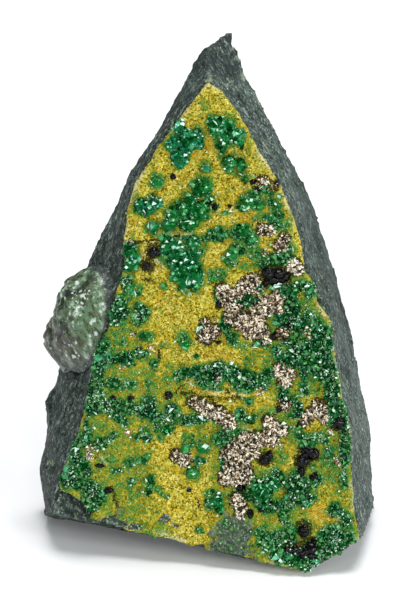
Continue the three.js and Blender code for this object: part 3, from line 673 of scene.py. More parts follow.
crustSettings = {
    "voxel": 0.19,
    "sink": 0.42,  # how far its back goes into the rock
    "notch": ((2.4, 2.9), (4.6, 3.6), 0.06),  # centre, size, and how far its filling lies below the crust
    "lowerEdge": (  # x and z of the line that its foot follows
        (-9.9, 3.1), (-8.0, 2.5), (-6.0, 2.2), (-4.0, 1.9), (-2.0, 1.4), (0.0, 1.3), (2.6, 1.05),
        (5.0, 0.8),
    ),
    "edgeShare": ((-10.6, 0), (-9.9, 1), (4.0, 1), (5.0, 0)),  # x, and how far it is drawn to that line
    "edgeFade": 3.5,  # how far up the pull reaches
    "swells": ((2.4, 0.1), (0.9, 0.07)),  # size and height in mm
    "sugar": (0.24, 0.035),  # the same, for the finest grain
    "bareDepth": 0.14, "crackDepth": 0.3, "ridgeHeight": 0.22,
    "paleRim": (0.5, 0.1), "palePatch": 1.6,  # how near the rim it pales, and the size of the patches
    "brownReach": 0.5,  # how far round the tan and black clusters the crust is darkened
    "ledges": (  # from x, z to x, z, height, and how far it fades above the line
        (-7.0, 27.3, -3.6, 27.5, 0.34, 0.9),
        (-3.0, 27.9, 1.5, 28.3, 0.2, 0.7),
        (-1.9, 15.3, 3.0, 15.1, 0.3, 0.8),
        (-0.6, 14.4, 4.6, 14.6, 0.34, 0.6),
        (-9.4, 16.9, -4.8, 18.3, 0.3, 0.8),
        (-4.6, 18.6, 3.6, 18.0, 0.22, 0.8),
        (-9.8, 11.9, -1.8, 12.3, 0.2, 0.8),
    ),
    "cracks": (  # dark lines, painted shade in the cracks: from x, z to x, z, and reach
        (-7.6, 27.1, -5.6, 27.2, 0.2), (-5.6, 27.2, -3.8, 27.6, 0.22), (-5.4, 24.1, -4.4, 23.9, 0.25),
        (-1.0, 27.6, -2.6, 27.8, 0.18), (-2.0, 14.6, 1.2, 14.2, 0.22), (1.2, 14.2, 3.4, 14.4, 0.2),
        (-4.6, 31.2, -3.9, 30.6, 0.2), (-7.9, 5.6, -7.6, 4.6, 0.25), (3.0, 32.6, 3.6, 32.3, 0.2),
        (4.2, 32.3, 4.8, 32.7, 0.25), (-0.6, 20.9, 1.0, 21.1, 0.2), (-4.0, 18.0, -3.9, 17.3, 0.2),
        (-2.4, 14.6, -2.0, 15.2, 0.15), (2.0, 15.0, 3.0, 14.6, 0.18), (-0.8, 5.7, -0.4, 5.0, 0.12),
    ),
    "ridges": (  # pale raised lines
        (-5.5, 26.0, -4.4, 26.9, 0.2), (-4.75, 26.05, -3.9, 25.6, 0.2), (-3.9, 25.6, -3.45, 25.1, 0.2),
        (-4.4, 25.0, -3.9, 24.8, 0.2), (-3.8, 27.9, -1.0, 28.0, 0.18), (0.0, 14.9, 3.6, 14.8, 0.22),
        (-7.6, 26.4, -6.9, 26.9, 0.25), (-1.6, 15.6, 0.4, 15.2, 0.16), (0.4, 20.5, 1.3, 20.8, 0.22),
        (3.3, 11.9, 4.6, 11.3, 0.22), (-6.6, 28.2, -6.5, 30.8, 0.16), (-9.0, 8.9, -8.5, 8.3, 0.2),
    ),
    "bare": (  # x, z, reach in x and z, and how much of the rock shows there
        (2.3, 1.8, 1.7, 1.9, 1.0), (2.6, 3.4, 1.6, 1.2, 0.85), (1.2, 3.2, 0.8, 0.7, 0.5),
        (3.9, 1.2, 0.7, 0.7, 0.6), (-7.9, 3.0, 1.0, 0.7, 1.0), (-6.0, 2.9, 0.6, 0.4, 0.8),
        (-3.4, 3.9, 0.5, 0.6, 0.75), (-7.4, 4.2, 0.6, 0.6, 0.5), (-2.5, 3.3, 0.3, 0.3, 0.6),
        (0.6, 1.8, 0.5, 0.6, 0.5), (-1.4, 6.4, 0.25, 0.2, 0.8), (-9.9, 4.2, 0.6, 0.4, 0.6),
    ),
    "warm": (  # the same, for rusty orange
        (0.6, 35.9, 0.6, 1.1, 0.7), (-0.4, 34.6, 0.8, 0.4, 0.4), (3.7, 29.6, 0.8, 0.5, 0.5),
        (10.3, 4.7, 1.2, 0.8, 0.7), (1.8, 19.4, 0.5, 0.6, 0.6), (-5.2, 14.7, 0.7, 0.5, 0.6),
        (5.3, 13.6, 0.8, 0.5, 0.45), (-3.8, 22.5, 0.6, 0.6, 0.3), (1.3, 17.9, 1.6, 0.3, 0.4),
        (-7.2, 16.3, 0.6, 0.4, 0.5), (3.9, 22.6, 0.35, 0.35, 0.8), (-0.5, 9.3, 0.5, 0.7, 0.4),
        (7.6, 10.1, 0.5, 0.7, 0.5), (-2.8, 21.9, 0.9, 0.5, 0.2), (5.2, 25.5, 1.0, 0.4, 0.4),
        (3.0, 23.4, 0.35, 0.4, 0.7),
    ),
}


def ledgeHeight(x, z, ledges):
    height = 0
    for x0, z0, x1, z1, lift, fade in ledges:
        along = (x - x0) / (x1 - x0)
        if -0.1 < along < 1.1:
            wobble = 0.25 * noise.noise(Vector((x * 0.9, z0, 3)))
            above = z - (z0 + (z1 - z0) * along) + wobble
            ends = min(1, max(0, 5 * (0.6 - abs(along - 0.5))))
            if above > -0.12:
                height += lift * ends * math.exp(-max(0, above) / fade) * min(1, (above + 0.12) / 0.12)
    return height


def bareness(x, z, places):
    edge = 0.5 * noise.noise(Vector((x, 5, z)) / 0.7) + 0.25 * noise.noise(Vector((x, 9, z)) / 0.25)
    return max(weight * spread(1.25, 0.75, ovalAway(x, z, *place) + edge) for *place, weight in places)


def lineDepth(x, z, lines):  # 0 to 1 beside thin wandering lines
    x += 0.25 * noise.noise(Vector((x, 2, z)) / 0.7)
    z += 0.25 * noise.noise(Vector((x, 7, z)) / 0.7)
    most = 0
    for x0, z0, x1, z1, reach in lines:
        runX, runZ = x1 - x0, z1 - z0
        along = min(1, max(0, ((x - x0) * runX + (z - z0) * runZ) / (runX ** 2 + runZ ** 2)))
        away = math.hypot(x - x0 - along * runX, z - z0 - along * runZ)
        most = max(most, spread(reach, 0, away))
    return most


def behindFace(place):  # depth in mm of a place of the layout, measured along Y from the leaning face
    return place.y + leanX * place.x - leanZ * place.z


def fillNotch(bm, settings):  # a slab level with the crust around it
    (x, z), (width, height), below = settings
    places = [vertex.co / mm - layoutZero for vertex in bm.verts]
    front = below + min(behindFace(place) for place in places
                        if abs(place.x - x) < width * 0.8 and place.z < z + height)
    centre = Vector((x, front - leanX * x + leanZ * z, z)) + layoutZero - faceNormal * 0.5
    turn = faceNormal.to_track_quat("Y", "Z").to_matrix().to_4x4()
    bmesh.ops.create_cube(bm, matrix=Matrix.Translation(centre * mm) @ turn @ Matrix.Diagonal(
        (width * mm, mm, height * mm, 1)))


def growCrust(settings):
    shell = copyOf("ochre_crust")
    fillNotch(shell, settings["notch"])
    bm = remeshed(shell, settings["voxel"])
    rimTree = spotTree([v.co for v in bm.verts if abs(v.normal.dot(faceNormal)) < 0.5])
    sugarSize, sugarLift = settings["sugar"]

    def shift(place, normal):
        facing = normal.dot(faceNormal)
        if facing < -0.5:
            return -faceNormal * settings["sink"]
        height = sum(lumps(place, size) * lift for size, lift in settings["swells"])
        height += sugarLift * lumps(place, sugarSize, 2)
        if facing > 0.5:
            x = place.x - layoutZero.x
            height += ledgeHeight(x, place.z, settings["ledges"])
            height -= (settings["bareDepth"] * bareness(x, place.z, settings["bare"])
                       + settings["crackDepth"] * lineDepth(x, place.z, settings["cracks"]))
            height += settings["ridgeHeight"] * lineDepth(x, place.z, settings["ridges"])
        return normal * height

    reshape(bm, shift)
    lowest = {}
    for vertex in bm.verts:
        x, z = flatPlace(vertex.co)
        lowest[round(x)] = min(z, lowest.get(round(x), z))
    footLine = sorted(lowest.items())
    for vertex in bm.verts:
        x, z = flatPlace(vertex.co)
        edge = between(x, footLine)
        fade = max(0, 1 - max(0, z - edge) / settings["edgeFade"])
        drop = (edge - between(x, settings["lowerEdge"])) * between(x, settings["edgeShare"]) * fade * fade
        vertex.co -= Vector((0, 0.25, 1)) * drop * mm
    layers = {name: bm.verts.layers.float.new(name) for name in ("cover", "stain", "bare", "pale", "warm")}
    for vertex in bm.verts:
        x, z = flatPlace(vertex.co)
        rimAway = rimTree.find(vertex.co)[2] / mm
        patchy = spread(-0.1, 0.4, noise.noise(Vector((x, 3, z)) / settings["palePatch"]))
        paleness = spread(*settings["paleRim"], rimAway) * patchy
        vertex[layers["cover"]] = coverAt(vertex.co)
        # the stain layer: painted shadow round the black balls, painted shade in the cracks, and darkening
        # round the tan and black clusters
        shadow = bareness(x, z, blackPlaces) * ballShadow["most"]
        brown = spread(settings["brownReach"], 0, nearBrown(vertex.co))
        vertex[layers["stain"]] = max(shadow, brown, lineDepth(x, z, settings["cracks"]))
        for name in ("bare", "warm"):
            vertex[layers[name]] = bareness(x, z, settings[name])
        vertex[layers["pale"]] = max(paleness, lineDepth(x, z, settings["ridges"]))
    return finishPiece(bm, "ochre_skin", "ochre", "ochreSkin", ["ochre_crust"])


crust = growCrust(crustSettings)
crustTree = treeOf(crust.data)
print("crust is grown:", len(crust.data.polygons), "faces")

# The rock

rockSettings = {
    "voxel": 0.26,
    "chips": ((3.2, 0.34), (1.3, 0.09)),  # size and height in mm
    "grit": ((0.8, 0.06), (0.35, 0.05)),
    "breaks": ((7.5, 1.1), (4.0, 0.6)),  # larger chips on the back
    "breakFacing": (0.45, 0.9), "breakTop": (41, 33),  # where they start and are full
    "knobs": (  # centre, reach and height
        ((-14.6, 13.2, 11.1), 1.1, 0.5), ((-14.2, 12.6, 14.0), 1.2, 0.35), ((-13.6, 9.0, 6.0), 1.5, 0.25),
    ),
    "underCrust": 0.1,  # the most that it rises behind the crust
    "footBand": 0.6,  # below this it stays flat for standing
}


def carveRock(settings):
    bm = remeshed(copyOf("matrix_rock"), settings["voxel"])
    knobs = [(Vector(centre) + layoutZero, reach, lift) for centre, reach, lift in settings["knobs"]]

    def shift(place, normal):
        height = sum(facets(place, size) * lift for size, lift in settings["chips"])
        height += sum(lumps(place, size) * lift for size, lift in settings["grit"])
        if normal.y > settings["breakFacing"][0]:
            share = spread(*settings["breakFacing"], normal.y) * spread(*settings["breakTop"], place.z)
            height += share * sum(facets(place, size) * lift for size, lift in settings["breaks"])
        for centre, reach, lift in knobs:
            away = (place - centre).length / reach
            height += lift * max(0, 1 - away * away)
        if normal.dot(faceNormal) > 0.75:
            height = min(height, settings["underCrust"])
        if place.z < settings["footBand"]:
            height *= place.z / settings["footBand"]
        return normal * height

    reshape(bm, shift)
    bare = bm.verts.layers.float.new("bare")
    for vertex in bm.verts:
        vertex.co.z = max(vertex.co.z, 0)
        if vertex.normal.dot(faceNormal) > 0.2:
            vertex[bare] = bareness(*flatPlace(vertex.co), crustSettings["bare"])
    return finishPiece(bm, "rock", "rock", "rock", ["matrix_rock"])


rock = carveRock(rockSettings)
print("rock is carved:", len(rock.data.polygons), "faces")


def onCrust(x, z, lift=0):  # the crust's surface at a place of the layout, and the way it faces
    start = Vector((x + layoutZero.x, -30, z)) * mm
    hit, normal = crustTree.ray_cast(start, straightBack)[:2]
    return (hit + faceNormal * lift * mm, normal) if hit else (None, None)


# Crystal shapes, each a few faces, one unit across


def crystalShape(sides, foot, tip, height, flat, cuts=()):
    bm = bmesh.new()
    bmesh.ops.create_cone(bm, cap_ends=True, segments=sides, radius1=foot, radius2=tip, depth=height)
    bmesh.ops.translate(bm, vec=(0, 0, height * 0.22), verts=bm.verts)
    bmesh.ops.scale(bm, vec=(1, flat, 1), verts=bm.verts)
    for tilt, turn, reach in cuts:
        tilt, turn = math.radians(tilt), math.radians(turn)
        across = Vector((math.sin(tilt) * math.cos(turn), math.sin(tilt) * math.sin(turn), math.cos(tilt)))
        geometry = bm.verts[:] + bm.edges[:] + bm.faces[:]
        bmesh.ops.bisect_plane(
            bm, geom=geometry, plane_co=across * reach, plane_no=across, clear_outer=True)
        rim = [edge for edge in bm.edges if edge.is_boundary]
        if rim:
            bmesh.ops.contextual_create(bm, geom=rim)
    bmesh.ops.recalc_face_normals(bm, faces=bm.faces)
    return template(bm)


def ballShape(squash):
    bm = bmesh.new()
    bmesh.ops.create_icosphere(bm, subdivisions=2, radius=0.55)
    bmesh.ops.scale(bm, vec=squash, verts=bm.verts)
    for face in bm.faces:
        face.smooth = True
    return template(bm)


def template(bm):
    mesh = bpy.data.meshes.new("shape")
    bm.to_mesh(mesh)
    bm.free()
    return mesh, [c for v in mesh.vertices for c in v.co]


shapes = {
    "block": [
        crystalShape(4, 0.5, 0.46, 0.9, 0.72, [(38, 0, 0.5), (38, 180, 0.44)]),
        crystalShape(6, 0.52, 0.4, 0.85, 0.85, [(28, 30, 0.5), (50, 190, 0.5)]),
        crystalShape(4, 0.46, 0.42, 1.1, 0.9, [(45, 45, 0.58), (45, 225, 0.62)]),
        crystalShape(5, 0.5, 0.45, 0.8, 0.8, [(55, 90, 0.42), (55, 270, 0.45), (20, 0, 0.5)]),
        crystalShape(6, 0.5, 0.44, 0.5, 0.9, [(25, 70, 0.3)]),
        crystalShape(8, 0.5, 0.3, 0.8, 0.95, [(35, 10, 0.46), (60, 130, 0.48), (50, 250, 0.46)]),
    ],
    "chip": [
        crystalShape(4, 0.3, 0.24, 1.2, 0.5, [(50, 0, 0.6)]),
        crystalShape(5, 0.34, 0.2, 1.0, 0.6),
        crystalShape(4, 0.4, 0.34, 0.8, 0.7, [(35, 40, 0.38)]),
    ],
    "shard": [
        crystalShape(4, 0.2, 0.14, 1.5, 0.4),
        crystalShape(3, 0.4, 0.2, 0.7, 0.6),
    ],
    "slab": [
        crystalShape(3, 0.58, 0.5, 0.8, 1),
        crystalShape(3, 0.6, 0.5, 0.8, 1),
        crystalShape(4, 0.5, 0.45, 0.8, 1),
    ],
    "grain": [
        crystalShape(4, 0.5, 0.2, 0.6, 0.9),
        crystalShape(5, 0.5, 0.25, 0.55, 0.8),
        crystalShape(3, 0.6, 0.3, 0.6, 0.9),
    ],
    "bead": [ballShape((1, 1, 1)), ballShape((1.1, 0.95, 0.9))],
}


class Druse:  # crystals gathered into one piece, each side with its own tone
    def __init__(self, mark="cool"):
        self.bm = bmesh.new()
        self.tones, self.marks, self.markName = [], [], mark

    def addCore(self, bm, drawTone, mark):
        mesh = bpy.data.meshes.new("core")
        bm.to_mesh(mesh)
        self.bm.from_mesh(mesh)
        self.tones += [drawTone(face.calc_center_median()) for face in bm.faces]
        self.marks += [mark] * len(mesh.polygons)
        bm.free()

    def addCrystal(self, shape, place, drawTone, mark):
        mesh, rest = shape
        mesh.vertices.foreach_set("co", rest)
        mesh.transform(place)
        self.bm.from_mesh(mesh, face_normals=False, vertex_normals=False)
        self.tones += [drawTone(side.normal) for side in mesh.polygons]
        self.marks += [mark] * len(mesh.polygons)

    def done(self, name, slot, material, replaced=()):
        piece = finishPiece(self.bm, name, slot, material, replaced)
        for layer, values in (("tone", self.tones), (self.markName, self.marks)):
            piece.data.attributes.new(layer, "FLOAT", "FACE").data.foreach_set("value", values)
        return piece


def placed(point, direction, size, spin, stretch):
    scale = Matrix.Diagonal((size * mm, size * mm, size * stretch * mm, 1))
    return Matrix.Translation(point) @ turnTo(direction) @ Matrix.Rotation(spin, 4, "Z") @ scale


def scattered(chance, normal, amount):  # a direction near the normal
    away = Vector((chance.gauss(0, 1), chance.gauss(0, 1), chance.gauss(0, 1))).normalized()
    return (normal + away * amount * chance.random()).normalized()


clusterFacing, skinFacing = 0.1, 0.3  # how far forward a face looks before crystals stand on it


def spotsOn(bm, count, chance, facing):  # places on the faces that look forward, with the cover there
    faces = [f for f in bm.faces if f.normal.dot(faceNormal) > facing]
    corners = [[v.co.copy() for v in f.verts[:3]] for f in faces]
    cover = bm.verts.layers.float.get("cover")
    for pick in chance.choices(range(len(faces)), weights=[f.calc_area() for f in faces], k=count):
        a, b, c = corners[pick]
        u, v = chance.random(), chance.random()
        if u + v > 1:
            u, v = 1 - u, 1 - v
        here = faces[pick].verts[0][cover] if cover else 0
        yield a + (b - a) * u + (c - a) * v, faces[pick].normal.copy(), here


sight = heading(0, cameraSettings["elevation"])
paintedHighlightWays = [heading(15, 50), heading(-35, 30), heading(50, 15)]  # sides that face these ways are painted near white: painted highlights


# glint crystals are painted near white on every side: painted highlights
glintWays = {"bury": 0.2, "spread": 2, "tone": (0.86, 1.25)}  # bury and spread are times the others'


def sow(druse, chance, settings, point, normal, scale=1.0, mark=0.0, shine=1.0):  # one crystal of a druse
    glint = chance.random() < settings["glint"] * shine
    big = not glint and chance.random() < settings.get("bigShare", 0)
    size = scale * chance.triangular(*settings["glintSize" if glint else "bigSize" if big else "size"])
    point = point - faceNormal * settings["bury"] * size * (glintWays["bury"] if glint else 1) * mm
    direction = scattered(chance, normal, settings["spread"] * (glintWays["spread"] if glint else 1))
    turned = placed(point, direction, size,
                    chance.uniform(0, fullTurn), chance.uniform(*settings["stretch"]))
    shape = chance.choice(shapes[settings.get("glintShape", "shard") if glint else settings["shape"]])
    low, high = settings["tone"]
    own = chance.uniform(low, high)
    cone, contrast = settings.get("cone", 2), settings.get("contrast", 0)
    # painted light from above: sides facing up are lighter, sides facing down darker
    paintedTopLight = settings.get("paintedTopLight", 0)

    def drawTone(side):  # glint crystals and the sides that face the highlight ways are painted near white, as painted highlights; the rest stay near the crystal's own tone, painted lighter on top and darker underneath, with a random spread
        if glint or any(side.dot(highlightWay) > cone for highlightWay in paintedHighlightWays):
            return chance.uniform(*glintWays["tone"])
        return min(high, max(low, own + paintedTopLight * side.z + chance.uniform(-contrast, contrast)))

    druse.addCrystal(shape, turned, drawTone, mark)


def lobed(bm, settings):  # rounds a body into lobes with faint steps on them
    body = remeshed(bm, settings["voxel"])
    lobe, lift = settings["lobes"]
    plate, step = settings["plates"]
    grainSize, grain = lobeWays["grain"]
    deepest = settings["coreSink"]

    def shift(place, normal):
        near = noise.voronoi(place / lobe)[0]
        dome = lift * (0.5 - 1.6 * near[0] * near[0])
        height = dome + step * facets(place, plate) + grain * lumps(place, grainSize)
        return normal * height - faceNormal * deepest

    reshape(body, shift)
    return body


lobeWays = {"lift": 0.1, "depth": 0.85, "grain": (0.3, 0.03)}  # depth is a share of the smaller reach


def bodyOf(places):  # rounded lumps half sunk in the crust: x, z, reach in x and z
    bm = bmesh.new()
    for x, z, reachX, reachZ in places:
        point = onCrust(x, z, lobeWays["lift"])[0]
        if point:
            deep = lobeWays["depth"] * min(reachX, reachZ)
            shape = Matrix.Translation(point) @ Matrix.Diagonal((reachX * mm, deep * mm, reachZ * mm, 1))
            bmesh.ops.create_icosphere(bm, subdivisions=3, radius=1, matrix=shape)
    return bm


slabWays = {
    "lift": 0.25, "tilt": 0.3, "size": 1.15, "thickness": 0.25,
    "facing": 0.6, "shade": 0.5,  # painted shade: sides that look farther away from the front are darker
}


def setSlabs(druse, chance, slabs, mark, body=None):  # flat crystals whose front is seen in the tone given, their other sides painted darker as painted shade; the white ones are painted highlights
    for x, z, length, width, angle, tone in slabs:
        point = onCrust(x, z, slabWays["lift"])[0]
        if not point:
            continue
        start = point + sight * 6 * mm  # well in front, so that the ray meets the cluster's own surface
        hit = body.ray_cast(start, -sight)[0] if body else None
        turn, scale = turnTo(scattered(chance, sight, slabWays["tilt"])), slabWays["size"]
        thickness = min(width, slabWays["thickness"])
        size = Matrix.Diagonal((length * scale * mm, width * scale * mm, thickness * mm, 1))
        spin = Matrix.Rotation(math.radians(angle), 4, "Z")
        place = Matrix.Translation(hit or point) @ turn @ spin @ size
        druse.addCrystal(
            chance.choice(shapes["slab"]), place,
            lambda side: tone if side.dot(sight) > slabWays["facing"] else tone * slabWays["shade"], mark)


def growOn(nodeName, settings, seed):
    chance = random.Random(seed)
    core = bodyOf(clusterLobes[nodeName]) if nodeName in clusterLobes else copyOf(nodeName)
    if "lobes" in settings:
        core = lobed(core, settings)
    else:
        bmesh.ops.translate(core, vec=faceNormal * -settings["coreSink"] * mm, verts=core.verts)
    bmesh.ops.triangulate(core, faces=core.faces)
    body = BVHTree.FromBMesh(core)
    count = int(facingArea(core, clusterFacing) * settings["density"]) + settings["least"]
    spots = list(spotsOn(core, count, chance, clusterFacing))
    cool = coolness.get(nodeName, 0.2)
    low, high, thin = settings["coreTone"]

    def coreTone(place):  # deep in the middle, brighter where it thins out over the crust
        depth = crustTree.ray_cast(place, straightBack)[3]
        return low + (high - low) * spread(thin * mm, 0, depth or 0)

    druse = Druse()
    druse.addCore(core, coreTone, cool)
    lighter = {**settings, "tone": tuple(t + brightness.get(nodeName, 0) for t in settings["tone"])}
    for point, normal, cover in spots:  # no cover here: the mark is the cluster's coolness
        sow(druse, chance, lighter, point, normal, 1, cool)
    setSlabs(druse, chance, clusterSlabs.get(nodeName, ()), cool, body)
    return druse.done(nodeName + "_crystals", settings["slot"], settings["finish"], [nodeName])


clusterLobes = {  # x, z, reach in x and z of each lobe
    "tan_top": ((5.15, 32.4, 0.55, 0.48), (5.75, 32.2, 0.42, 0.38)),
    "green_crown_left": ((-2.85, 35.5, 0.5, 0.5), (-1.1, 35.85, 0.85, 0.85), (-0.35, 35.6, 0.4, 0.55),
                         (-2.15, 34.4, 0.8, 0.6), (-2.2, 35.8, 0.55, 0.55), (-2.15, 36.9, 0.4, 0.6),
                         (-1.5, 35.0, 0.5, 0.4), (-2.0, 33.6, 0.3, 0.2)),
    "green_crown_right": ((1.15, 37.15, 0.75, 0.85), (2.2, 37.3, 0.45, 0.4), (2.6, 36.4, 0.9, 0.5),
                          (1.7, 35.7, 0.42, 0.55), (3.15, 35.75, 0.35, 0.3), (1.7, 36.5, 0.4, 0.5)),
    "green_shoulder": ((2.3, 34.0, 0.52, 0.6), (3.25, 33.8, 0.45, 0.42), (1.9, 33.5, 0.25, 0.25)),
    "green_upper_knob": ((-0.2, 31.85, 0.9, 0.7), (0.35, 31.6, 0.4, 0.4)),
    "green_upper_mass": ((-2.7, 29.5, 0.6, 0.65), (-1.6, 30.0, 0.85, 0.85), (-0.35, 29.9, 0.75, 0.8),
                         (-1.2, 28.95, 0.8, 0.5), (-3.1, 28.7, 0.7, 0.48), (-1.2, 30.8, 0.5, 0.4)),
    "green_left_pair": ((-5.5, 30.3, 0.5, 0.55), (-4.4, 30.35, 0.65, 0.5), (-4.8, 29.7, 0.3, 0.25)),
    "green_single_shelf": ((-4.4, 28.6, 0.48, 0.42),),
    "green_single_left": ((-4.1, 32.25, 0.46, 0.46),),
    "green_middle_mass": ((-2.8, 26.95, 1.0, 0.5), (-1.0, 27.25, 0.6, 0.45), (-2.2, 26.2, 0.8, 0.6),
                          (-1.5, 25.2, 1.2, 0.8), (-1.75, 24.4, 0.85, 0.6), (-0.65, 24.5, 0.55, 0.75),
                          (-0.8, 26.1, 0.55, 0.7), (-2.5, 25.3, 0.5, 0.7), (-1.6, 23.75, 0.5, 0.3)),
    "green_right_trio": ((3.85, 30.85, 0.65, 0.52), (4.8, 30.4, 0.35, 0.3), (3.3, 30.4, 0.3, 0.3)),
    "green_right_pair": ((3.5, 28.4, 0.5, 0.5), (4.2, 27.8, 0.4, 0.4)),
    "green_single_wedge": ((2.5, 26.45, 0.55, 0.55),),
    "green_single_rim": ((-6.5, 23.3, 0.35, 0.45), (-6.2, 22.8, 0.3, 0.4)),
    "green_single_belly": ((-1.6, 18.7, 0.46, 0.48),),
    "green_single_low_a": ((-1.6, 9.8, 0.44, 0.44),),
    "green_single_low_b": ((-0.2, 9.9, 0.42, 0.42), (0.15, 10.1, 0.3, 0.3)),
    "green_single_low_c": ((-1.0, 7.75, 0.55, 0.45),),
    "green_low_group": ((5.0, 6.5, 0.9, 0.8), (6.0, 7.2, 0.55, 0.5), (5.3, 5.7, 0.5, 0.4)),
    "green_low_rosette": ((1.0, 5.3, 0.65, 0.6), (1.5, 4.8, 0.35, 0.3)),
}

